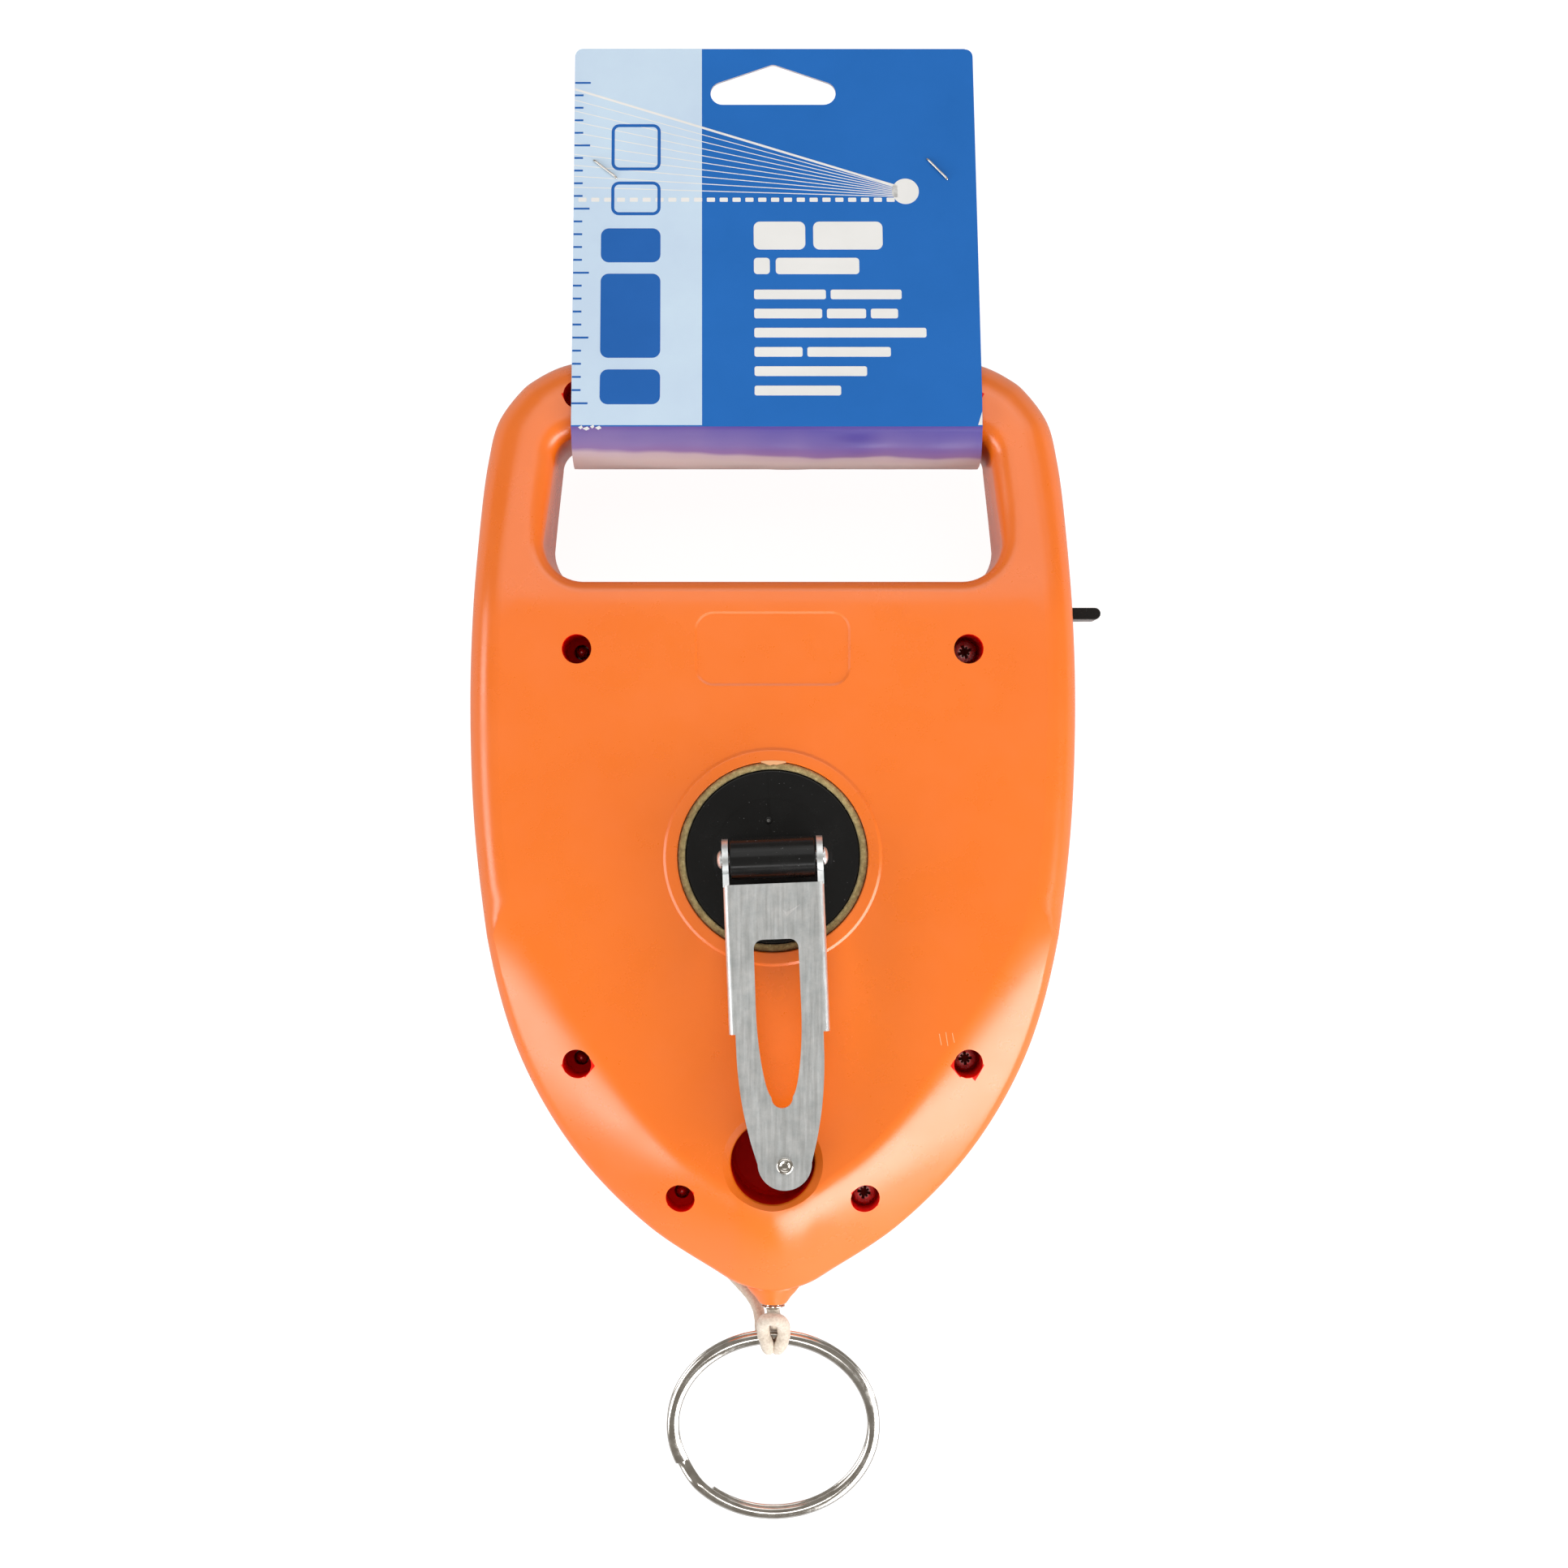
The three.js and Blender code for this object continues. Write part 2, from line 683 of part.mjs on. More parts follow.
function gateCutter(gateSide) {
  const slotLow = gatePlace - gateThickness / 2 - fit;
  const slotHigh = gatePlace + gateThickness / 2 + fit;
  const slotEnds = [gateSide * (gateStart - fit), gateSide * (caseHalfWidth + overrun)];
  const portEnds = [gateSide * portStart, gateSide * portEnd];
  slotEnds.sort((a, b) => a - b);
  portEnds.sort((a, b) => a - b);
  const slot = box(...slotEnds, slotLow, slotHigh, -overrun, gateHalf + fit);
  const railLow = slotLow - railThickness;
  const port = box(...portEnds, railLow - overrun, openingFloor + overrun, -overrun, portHalf);
  return slot.add(port);
}

function caseHalf(gateSide) {
  const above = faceHeight + overrun;
  const boss = cylinder(bossRadius, faceHeight - wall, faceHeight + bossRise, fineRound);
  let half = caseForm(0, 0, outlineSteps, edgeSteps).add(nozzleForm()).add(boss);
  half = half.subtract(caseHollow(gateSide));
  half = half.subtract(cylinder(hubBore, faceHeight - collarDepth - overrun, above, fineRound));
  half = half.subtract(openingCutter());
  half = half.subtract(pocketCutter());
  const label = roundedRectangle(labelWidth / 2, labelHeight / 2, labelRadius, labelPlace);
  half = half.subtract(extrude(label, faceHeight - labelDepth, above));
  for (const [x, y] of screwPlaces()) {
    const well = cylinder(wellRadius, headSeat, above, smallRound);
    const hole = cylinder(shankRadius + fit, -overrun, headSeat + overrun, hiddenRound);
    half = half.subtract(well.add(hole).translate([x, y, 0]));
  }
  const bore = cylinder(eyeletRadius + fit, wiperFront - overrun, nozzleTip + overrun, smallRound);
  half = half.subtract(bore.rotate(alongMinusY));
  const feltHalf = wiperHalf + fit;
  const feltBack = wiperDepth - wiperFront + fit;
  const feltHeight = wiperHeight / 2 + fit;
  half = half.subtract(box(-feltHalf, feltHalf, -wiperFront - fit, feltBack, -overrun, feltHeight));
  const windowHigh = lineRadius + lineFit;
  const windowEnd = feltBack + cradleWall + overrun;
  half = half.subtract(box(-cradleWindow, cradleWindow, feltBack - overrun, windowEnd, -overrun, windowHigh));
  half = half.subtract(gateCutter(gateSide));
  const below = box(-caseHalfWidth, caseHalfWidth, -nozzleTip - overrun, handleReach, -faceHeight, 0);
  return half.subtract(below);
}

// A self-tapping screw with its head's underside at z = headSeat and its tip pointing down.
function screwForm() {
  const seat = headSeat + fit;
  const tip = -headSeat - screwTail;
  const profile = [
    [0, tip],
    [shankRadius / 2, tip + shankRadius / 2],
    [shankRadius, tip + shankRadius * 1.5],
    [shankRadius, seat],
    [headRadius, seat],
    [headRadius, seat + headHeight / 2],
    [headRadius * 0.8, seat + headHeight],
    [0, seat + headHeight],
  ];
  const half = recessLength / 2;
  const bar = recessWidth / 2;
  const top = seat + headHeight;
  const cross = box(-half, half, -bar, bar, top - recessDepth, top + overrun)
    .add(box(-bar, bar, -half, half, top - recessDepth, top + overrun));
  return revolve(profile, hiddenRound).subtract(cross);
}

function sealForm() {
  const high = faceHeight - fit;
  return tube(discRadius + fit, sealRadius, high - sealDepth, high, fineRound);
}

// The disc, its running body and shoulder, and the square spigot that turns the spool.
function hubForm() {
  const top = faceHeight - discRecess;
  const step = faceHeight - sealDepth - 2 * fit;
  const shoulderTop = faceHeight - collarDepth - fit;
  const shoulderLow = spoolHalf + fit;
  const profile = [
    [0, shoulderLow],
    [shoulderRadius, shoulderLow],
    [shoulderRadius, shoulderTop],
    [hubBodyRadius, shoulderTop],
    [hubBodyRadius, step],
    [discRadius, step],
    [discRadius, top],
    [0, top],
  ];
  const half = driveSquare / 2 - fit;
  const spigot = box(-half, half, -half, half, spigotEnd, shoulderLow + overrun / 3);
  return revolve(profile, fineRound).add(spigot);
}

function crankHub() {
  const barrel = cylinder(barrelRadius, -barrelHalf, barrelHalf, midRound).rotate(alongX);
  const saddle = box(-barrelHalf, barrelHalf, -saddleHalf, saddleHalf, faceHeight - wall, pinHeight);
  const bore = cylinder(pinRadius + fit, -barrelHalf - overrun, barrelHalf + overrun, smallRound);
  return hubForm()
    .add(saddle)
    .add(barrel.translate([0, 0, pinHeight]))
    .subtract(bore.rotate(alongX).translate([0, 0, pinHeight]));
}

function spoolForm() {
  const inside = spoolHalf - flangeThickness;
  const profile = [
    [0, -spoolHalf],
    [spoolRadius, -spoolHalf],
    [spoolRadius, -inside],
    [coreRadius, -inside],
    [coreRadius, inside],
    [spoolRadius, inside],
    [spoolRadius, spoolHalf],
    [0, spoolHalf],
  ];
  const half = driveSquare / 2;
  const bore = box(-half, half, -half, half, -spoolHalf - overrun, spoolHalf + overrun);
  return revolve(profile, fineRound).subtract(bore);
}

function windingForm() {
  const inside = spoolHalf - flangeThickness - fit;
  return tube(coreRadius + fit, windingRadius, -inside, inside, fineRound);
}

// Crank arm, hinge pin on the x axis at the origin, reaching towards -Y.
function armFlange(side) {
  const shape = new THREE.Shape();
  shape.moveTo(-flangeEnd, flangeTip);
  shape.lineTo(-webStart, -earRadius * 0.8);
  shape.absarc(0, 0, earRadius, Math.PI * 1.2, Math.PI * 2.75, false);
  shape.lineTo(-webStart, armRise);
  shape.lineTo(-flangeEnd, armRise);
  shape.closePath();
  const outer = barrelHalf + fit + sheet;
  const ends = [side * (outer - sheet), side * outer].sort((a, b) => a - b);
  const geometry = extrudeAlongX(shape, ...ends);
  const lean = (side * flangeToe) / flangeEnd;
  geometry.applyMatrix4(new THREE.Matrix4().set(1, lean, 0, 0, 0, 1, 0, 0, 0, 0, 1, 0, 0, 0, 0, 1));
  return toSolid(geometry);
}

function armWeb() {
  const outer = barrelHalf + fit + sheet;
  const rightEdge = [
    [outer - (flangeToe * webStart) / flangeEnd, -webStart],
    [outer - flangeToe, -flangeEnd],
  ];
  for (const [alongShare, acrossShare] of armEdgeShares) {
    const y = -flangeEnd - alongShare * (rivetPlace - flangeEnd);
    rightEdge.push([acrossShare * outer, y]);
  }
  const shape = new THREE.Shape();
  const mirrored = rightEdge.map(([x, y]) => [-x, y]);
  shape.moveTo(...mirrored[0]);
  mirrored.slice(1).forEach((point) => shape.lineTo(...point));
  const tipCentre = -(armTip - armTipHalf);
  shape.absarc(0, tipCentre, armTipHalf, Math.PI, 2 * Math.PI, false);
  rightEdge.slice().reverse().forEach((point) => shape.lineTo(...point));
  shape.closePath();

  const slot = new THREE.Path();
  const length = slotEnd - slotStart;
  slot.absarc(slotHalf - slotRadius, -slotStart - slotRadius, slotRadius, 0, Math.PI / 2, false);
  slot.absarc(slotRadius - slotHalf, -slotStart - slotRadius, slotRadius, Math.PI / 2, Math.PI, false);
  for (const [alongShare, acrossShare] of slotEdgeShares) {
    slot.lineTo(-acrossShare * slotHalf, -slotStart - alongShare * length);
  }
  slot.absarc(0, slotEndHalf - slotEnd, slotEndHalf, Math.PI, 2 * Math.PI, false);
  for (const [alongShare, acrossShare] of slotEdgeShares.slice().reverse()) {
    slot.lineTo(acrossShare * slotHalf, -slotStart - alongShare * length);
  }
  slot.closePath();
  shape.holes.push(slot);
  return extrude(shape, armRise - sheet, armRise);
}

function crankArm() {
  const pinHole = cylinder(pinRadius + fit, -2 * barrelHalf, 2 * barrelHalf, smallRound).rotate(alongX);
  const rivetHole = cylinder(rivetRadius + fit, 0, armRise + overrun, smallRound);
  return armWeb()
    .add(armFlange(1))
    .add(armFlange(-1))
    .subtract(pinHole)
    .subtract(rivetHole.translate([0, -rivetPlace, 0]));
}

function hingePin() {
  const outer = barrelHalf + fit + sheet + fit;
  const profile = [
    [0, -outer - pinHeadDepth],
    [pinHeadRadius * 0.75, -outer - pinHeadDepth],
    [pinHeadRadius, -outer - pinHeadDepth / 2],
    [pinHeadRadius, -outer],
    [pinRadius, -outer],
    [pinRadius, outer],
    [pinHeadRadius, outer],
    [pinHeadRadius, outer + pinHeadDepth / 2],
    [pinHeadRadius * 0.75, outer + pinHeadDepth],
    [0, outer + pinHeadDepth],
  ];
  return revolve(profile, smallRound).rotate(alongX);
}

// Knob with its rim at z = 0, reaching down.
function knobForm() {
  const counterbore = rivetFootRadius + fit;
  const recess = rivetFootDepth + fit;
  const profile = [
    [rivetRadius + fit, 0],
    [rivetRadius + fit, recess - knobLength],
    [counterbore, recess - knobLength],
    [counterbore, -knobLength],
  ];
  for (const [downShare, radiusShare] of knobShares.slice().reverse()) {
    profile.push([radiusShare * knobRadius, -downShare * knobLength]);
  }
  return revolve(profile, midRound);
}

// Rivet through arm and knob: the arm's underside is at z = 0.
function rivetForm() {
  const top = sheet + fit;
  const low = rivetFootDepth - knobLength - fit;
  const profile = [
    [0, low - rivetFootDepth],
    [rivetFootRadius, low - rivetFootDepth],
    [rivetFootRadius, low],
    [rivetRadius, low],
    [rivetRadius, top],
    [rivetHeadRadius, top],
    [rivetHeadRadius, top + rivetHeadDepth / 2],
    [rivetHeadRadius * 0.75, top + rivetHeadDepth],
    [0, top + rivetHeadDepth],
  ];
  return revolve(profile, smallRound);
}

function gateForm() {
  const low = gatePlace - gateThickness / 2;
  const high = gatePlace + gateThickness / 2;
  const plate = box(gateStart, tabStart, low, high, -gateHalf, gateHalf);
  const tab = box(tabStart - gateThickness, gateReach - gateThickness / 2, low, high, -tabHalf, tabHalf);
  const tip = cylinder(gateThickness / 2, -tabHalf, tabHalf, smallRound);
  return plate.add(tab).add(tip.translate([gateReach - gateThickness / 2, gatePlace, 0]));
}

function eyeletForm() {
  const inner = lineRadius + lineFit;
  const flange = eyeletRadius + eyeletLip;
  const face = nozzleTip + fit;
  const profile = [
    [inner, face + eyeletFlangeDepth - eyeletLength],
    [eyeletRadius, face + eyeletFlangeDepth - eyeletLength],
    [eyeletRadius, face],
    [flange, face],
    [flange, face + eyeletFlangeDepth / 2],
    [eyeletRadius, face + eyeletFlangeDepth],
    [inner, face + eyeletFlangeDepth],
  ];
  return revolve(profile, smallRound).rotate(alongMinusY);
}

function wiperForm() {
  const hole = cylinder(lineRadius + fit, wiperFront - 2 * wiperDepth, wiperFront + wiperDepth, smallRound);
  return box(-wiperHalf, wiperHalf, -wiperFront, wiperDepth - wiperFront, -wiperHeight / 2, wiperHeight / 2)
    .subtract(hole.rotate(alongMinusY));
}

// The line from the winding to the nozzle: a tangent off the winding, a bend, then straight out.
function lineRun() {
  const bend = wiperFront - wiperDepth - 2 * lineRadius;
  const rim = windingRadius + fit + lineRadius;
  const tangentAngle = Math.acos(rim / bend);
  const off = new THREE.Vector3(rim * Math.sin(tangentAngle), -rim * Math.cos(tangentAngle), 0);
  const corner = new THREE.Vector3(0, -bend, 0);
  const ease = 2 * lineRadius;
  const points = [off];
  for (const share of [0.2, 0.4, 0.6, 0.8]) {
    points.push(off.clone().lerp(corner, share));
  }
  const back = off.clone().sub(corner).normalize();
  const before = corner.clone().addScaledVector(back, ease);
  const after = new THREE.Vector3(0, -bend - ease, 0);
  points.push(...new THREE.QuadraticBezierCurve3(before, corner, after).getPoints(4));
  const end = nozzleTip + fit + eyeletFlangeDepth;
  points.push(new THREE.Vector3(0, -(bend + end) / 2, 0));
  points.push(new THREE.Vector3(0, -end, 0));
  return lineAlong(points, lineRunSteps);
}

// Split ring, lying in the xy plane with the middle of its wire at the origin and its centre towards -Y:
// two flat coils of one wire, which steps from one level to the other.
function ringForm() {
  const middle = ringRadius - ringWidth / 2;
  const level = (ringCoil + ringGap) / 2;
  const half = ringWidth / 2;
  const thick = ringCoil / 2;
  const section = [
    [half - ringCorner, -thick],
    [half, ringCorner - thick],
    [half, thick - ringCorner],
    [half - ringCorner, thick],
    [ringCorner - half, thick],
    [-half, thick - ringCorner],
    [-half, ringCorner - thick],
    [ringCorner - half, -thick],
  ];
  const turns = 4 * Math.PI - 2 * ringStepTurn;
  const riseStart = 2 * Math.PI - 2 * ringStepTurn;
  const riseEnd = 2 * Math.PI - ringStepTurn / 2;
  const rings = [];
  for (let i = 0; i <= ringSteps; i += 1) {
    const along = (turns * i) / ringSteps;
    const rise = THREE.MathUtils.smoothstep(along, riseStart, riseEnd);
    const z = THREE.MathUtils.lerp(-level, level, rise);
    const angle = ringStep + ringStepTurn + along;
    const ring = section.map(([out, up]) => {
      const reach = middle + out;
      return new THREE.Vector3(reach * Math.cos(angle), reach * Math.sin(angle) - middle, z + up);
    });
    rings.push(ring.reverse());
  }
  return sweep(rings);
}

// Joins the rings of a bar that stays open at both ends, and closes its ends flat.
function sweep(rings) {
  const corners = [];
  const count = rings[0].length;
  const first = rings[0];
  const last = rings[rings.length - 1];
  for (let k = 0; k + 1 < rings.length; k += 1) {
    for (let i = 0; i < count; i += 1) {
      const next = (i + 1) % count;
      corners.push(rings[k][i], rings[k][next], rings[k + 1][next]);
      corners.push(rings[k][i], rings[k + 1][next], rings[k + 1][i]);
    }
  }
  for (let i = 1; i + 1 < count; i += 1) {
    corners.push(first[0], first[i + 1], first[i]);
    corners.push(last[0], last[i], last[i + 1]);
  }
  return toSolid(new THREE.BufferGeometry().setFromPoints(corners));
}

// Height of the ring's wire in the hitch, so that the far side of the ring rests on the floor.
function ringHeight() {
  const floor = -faceHeight - bossRise;
  const across = 2 * ringRadius - ringWidth;
  const halfWire = (2 * ringCoil + ringGap) / 2;
  const drop = across * Math.sin(ringTilt);
  return floor + drop + (ringWidth / 2) * Math.sin(ringTilt) + halfWire * Math.cos(ringTilt);
}

// The hitch: out of the nozzle, round the ring's wire, then away under it.
function hitchPoints() {
  const start = -(nozzleTip + fit + eyeletFlangeDepth + fit);
  const height = ringHeight();
  const wire = Math.hypot(ringWidth / 2, ringWidth / 2 - ringCorner);
  const reach = wire + hitchFit + lineRadius;
  const points = [
    new THREE.Vector3(0, start, 0),
    new THREE.Vector3(0, start - lineRadius, 0),
    new THREE.Vector3(hitchSide * 0.4, start - 3 * lineRadius, -lineRadius * 0.8),
  ];
  for (let degrees = hitchStart; degrees <= hitchEnd; degrees += hitchTurnStep) {
    const angle = THREE.MathUtils.degToRad(degrees);
    const x = hitchSide - (hitchPitch * (degrees - hitchStart)) / 360;
    const y = -ringPlace + reach * Math.cos(angle);
    const z = height + reach * Math.sin(angle);
    points.push(new THREE.Vector3(x, y, z));
  }
  return points;
}

// Height of the inner side of the card's front layer, which rests on the rounded edge of the handle bar.
function cardHeight(y) {
  const edgeY = handleReach - draft - handleEdgeRadius;
  const edgeZ = faceHeight - handleDrop(edgeY) - handleEdgeRadius;
  const slant = Math.atan(cardFall);
  const clear = (handleEdgeRadius + fit) / Math.cos(slant);
  return edgeZ + clear - cardFall * (y - edgeY);
}

// Card: inner side of the loop round the handle bar.
function cardLoop() {
  const depth = handleReach - openingTop;
  const height = faceHeight - handleDrop(openingTop + depth / 2);
  const foldPlace = openingTop + cardFoldShare * depth;
  const wrap = [new THREE.Vector3(foldPlace, cardHeight(foldPlace), 0)];
  for (const [depthShare, heightShare] of cardWrapShares) {
    wrap.push(new THREE.Vector3(openingTop + depthShare * depth, heightShare * height, 0));
  }
  const curve = new THREE.CatmullRomCurve3(wrap, false, "centripetal");
  const points = curve.getPoints(2 * wrap.length);
  const join = new THREE.Vector3(cardJoin, cardHeight(cardJoin), 0);
  return [join, ...points].map((p) => new THREE.Vector2(p.x, p.y));
}

function grownLoop(loop, grow) {
  return loop.map((point, i) => {
    const before = loop[(i + loop.length - 1) % loop.length];
    const after = loop[(i + 1) % loop.length];
    const into = point.clone().sub(before).normalize();
    const away = after.clone().sub(point).normalize();
    const outInto = new THREE.Vector2(into.y, -into.x);
    const outAway = new THREE.Vector2(away.y, -away.x);
    const out = outInto.clone().add(outAway).normalize();
    return point.clone().addScaledVector(out, grow / Math.max(0.35, out.dot(outInto)));
  });
}

// Hang slot: two round ends and a rounded peak, joined by straight edges that touch all three.
function hangShape(low, high) {
  const shape = new THREE.Shape();
  const across = hangHalf - hangEndRadius;
  const rise = high - hangPeakRadius - low - hangEndRadius;
  const lead = Math.asin((hangEndRadius - hangPeakRadius) / Math.hypot(across, rise));
  const tangent = Math.PI / 2 + Math.atan2(rise, across) - lead;
  shape.absarc(across, low + hangEndRadius, hangEndRadius, -Math.PI / 2, Math.PI - tangent, false);
  shape.absarc(0, high - hangPeakRadius, hangPeakRadius, Math.PI - tangent, tangent, false);
  shape.absarc(-across, low + hangEndRadius, hangEndRadius, tangent, Math.PI * 1.5, false);
  return shape;
}

// A group that lies in the card's double layer: x across, y towards the card's top, z out of its face.
function onCard(y) {
  const frame = new THREE.Group();
  frame.position.set(0, y, cardHeight(y));
  frame.rotation.x = -Math.atan(cardFall);
  frame.updateMatrix();
  return frame;
}

function placedBy(geometry, frame) {
  geometry.applyMatrix4(frame.matrix);
  return toSolid(geometry);
}

function hangCard() {
  const loop = cardLoop();
  const loopShape = new THREE.Shape(grownLoop(loop, cardThickness).reverse());
  loopShape.holes.push(new THREE.Path(loop));
  const wrap = toSolid(extrudeAlongX(loopShape, -cardLeft, cardRight));
  const frame = onCard(cardJoin);
  const slant = Math.cos(Math.atan(cardFall));
  const toSlant = (y) => (y - cardJoin) / slant;
  const panel = new THREE.BoxGeometry(cardLeft + cardRight, toSlant(cardTop), 2 * cardThickness);
  panel.translate((cardRight - cardLeft) / 2, toSlant(cardTop) / 2, 0);
  const hang = new THREE.ExtrudeGeometry(hangShape(toSlant(hangLow), toSlant(hangHigh)), {
    depth: 2 * overrun,
    bevelEnabled: false,
    curveSegments: cornerSteps,
  });
  hang.translate(0, 0, -overrun);
  let card = wrap.add(placedBy(panel, frame)).subtract(placedBy(hang, frame));
  stapleCentres.forEach((centre, i) => {
    for (const side of [1, -1]) {
      const width = stapleWire + 2 * stapleHole;
      const hole = new THREE.BoxGeometry(width, width, 2 * overrun);
      hole.translate(side * (stapleHalf - stapleWire / 2), 0, 0);
      hole.rotateZ(stapleTurns[i]);
      hole.translate(centre, 0, 0);
      card = card.subtract(placedBy(hole, onCard(staplePlace)));
    }
  });
  return card;
}

function stapleForm() {
  const half = stapleHalf;
  const bar = stapleWire / 2;
  const face = cardThickness + fit;
  const crown = box(-half, half, -bar, bar, face, face + stapleWire);
  let staple = crown;
  for (const side of [1, -1]) {
    const leg = [side * (half - stapleWire), side * half].sort((a, b) => a - b);
    staple = staple.add(box(...leg, -bar, bar, -face - stapleWire, face + stapleWire / 2));
    const foot = [side * half, side * half * 0.25].sort((a, b) => a - b);
    staple = staple.add(box(...foot, -bar, bar, -face - stapleWire, -face));
  }
  return staple;
}

// Assembly
const reel = new THREE.Group();
const level = new THREE.Group();
reel.add(level);

const frontShell = namedMesh("front_shell", caseHalf(1), orangePlastic);
const rearShell = namedMesh("rear_shell", caseHalf(-1), orangePlastic);
rearShell.rotation.y = Math.PI;
level.add(frontShell, rearShell);

let screwNumber = 0;
for (const [x, y] of screwPlaces()) {
  screwNumber += 1;
  const screw = namedMesh("case_screw_" + screwNumber, screwForm(), zincSteel);
  screw.position.set(x, y, 0);
  screw.rotation.y = x > 0 ? 0 : Math.PI;
  level.add(screw);
}

const frontSeal = namedMesh("front_hub_seal", sealForm(), khakiFelt);
const rearSeal = namedMesh("rear_hub_seal", sealForm(), khakiFelt);
rearSeal.rotation.y = Math.PI;
level.add(frontSeal, rearSeal);

level.add(namedMesh("nozzle_eyelet", eyeletForm(), brightSteel));
level.add(namedMesh("felt_wiper", wiperForm(), khakiFelt));
level.add(namedMesh("line_run", lineRun(), whiteCotton));
level.add(namedMesh("filler_gate", gateForm(), blackPlastic));

const turning = new THREE.Group();
turning.rotation.z = crankYaw;
level.add(turning);
turning.add(namedMesh("crank_hub", crankHub(), blackPlastic));
const rearHub = namedMesh("rear_hub", hubForm(), blackPlastic);
rearHub.rotation.y = Math.PI;
turning.add(rearHub);
turning.add(namedMesh("spool_drum", spoolForm(), naturalPlastic));
turning.add(namedMesh("line_winding", windingForm(), whiteCotton));

const crank = new THREE.Group();
crank.position.z = pinHeight;
turning.add(crank);
crank.add(namedMesh("crank_arm", crankArm(), zincSteel));
crank.add(namedMesh("hinge_pin", hingePin(), brightSteel));
const knobPlace = new THREE.Group();
knobPlace.position.set(0, -rivetPlace, armRise - sheet);
crank.add(knobPlace);
const knob = namedMesh("crank_knob", knobForm(), blackPlastic);
knob.position.z = -fit;
knobPlace.add(knob);
knobPlace.add(namedMesh("knob_rivet", rivetForm(), brightSteel));

const ring = namedMesh("split_ring", ringForm(), brightSteel);
ring.position.set(0, -ringPlace, ringHeight());
ring.rotation.x = ringTilt;
const knot = namedMesh("line_knot", lineAlong(hitchPoints(), hitchSteps), whiteCotton);
const tailPoints = tailRoute.map((point) => new THREE.Vector3(...point));
const tail = namedMesh("line_tail", lineAlong(tailPoints, tailSteps), whiteCotton);
level.add(ring, knot, tail);

level.add(namedMesh("hang_card", hangCard(), blueCard));
["staple_left", "staple_right"].forEach((name, i) => {
  const frame = onCard(staplePlace);
  const staple = namedMesh(name, stapleForm(), brightSteel);
  staple.position.x = stapleCentres[i];
  staple.rotation.z = stapleTurns[i];
  frame.add(staple);
  level.add(frame);
});

// The origin is under the middle of the reel and its card, on the surface that they lie on.
const onLine = [ring, knot, tail];
level.remove(...onLine);
const bounds = new THREE.Box3().setFromObject(reel, true);
level.add(...onLine);
const middle = bounds.getCenter(new THREE.Vector3());
level.position.set(-middle.x, -middle.y, -bounds.min.z);

export default reel;
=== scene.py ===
"""Chalk line reel: the finished surfaces, the line, the card, the light and the camera.

Shapes are written in millimetres from the hub's axis and the joint between the case halves: x to
the filler gate's side, y towards the handle and z towards the crank. Matrices put them into place.
"""

import json
import math

import bmesh
import bpy
from mathutils import Matrix, Vector, noise


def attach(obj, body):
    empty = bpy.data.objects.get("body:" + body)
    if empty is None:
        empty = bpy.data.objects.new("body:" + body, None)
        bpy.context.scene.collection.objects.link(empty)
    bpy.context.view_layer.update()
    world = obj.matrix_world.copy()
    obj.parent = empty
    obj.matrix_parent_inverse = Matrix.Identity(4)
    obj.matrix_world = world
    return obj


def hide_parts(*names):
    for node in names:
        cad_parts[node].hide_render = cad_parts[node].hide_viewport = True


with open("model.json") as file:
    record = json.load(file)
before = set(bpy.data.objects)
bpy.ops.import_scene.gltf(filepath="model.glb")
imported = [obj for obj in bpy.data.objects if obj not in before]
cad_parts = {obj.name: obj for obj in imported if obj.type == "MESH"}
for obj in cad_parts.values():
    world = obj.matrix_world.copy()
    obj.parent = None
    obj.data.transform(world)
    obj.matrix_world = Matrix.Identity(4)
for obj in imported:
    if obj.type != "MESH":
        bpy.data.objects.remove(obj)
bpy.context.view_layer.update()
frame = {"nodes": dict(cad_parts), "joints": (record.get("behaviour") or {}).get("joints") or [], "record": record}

# Places taken from the frame
MM = 0.001
record = frame["record"]
joint_at = {joint["name"]: joint for joint in frame["joints"]}
body_of = {node: body for body, nodes in record["behaviour"]["bodies"].items() for node in nodes}
slot_of = {row["node"]: row["material_slot"] for row in record["subparts"]}
hub = Vector(joint_at["spool_spin"]["pos_m"])
crank_axis = Vector(joint_at["crank_fold"]["axis"])
crank_yaw = math.atan2(-crank_axis.y, -crank_axis.x)


def moved(place, turn=None):
    """Matrix from millimetres round a place in the frame."""
    return Matrix.Translation(place) @ (turn or Matrix.Identity(4)) @ Matrix.Scale(MM, 4)


yawed = Matrix.Rotation(crank_yaw, 4, "Z")
turned_back = Matrix.Rotation(math.pi, 4, "Y")
at_hub = moved(hub)
at_hub_yawed = moved(hub, yawed)
at_hinge = moved(Vector(joint_at["crank_fold"]["pos_m"]), yawed)
along_x = Matrix.Rotation(math.pi / 2, 4, "Y")
along_minus_y = Matrix.Rotation(math.pi / 2, 4, "X")


def shifted(x, y, z=0, at=at_hub):
    return at @ Matrix.Translation((x, y, z))



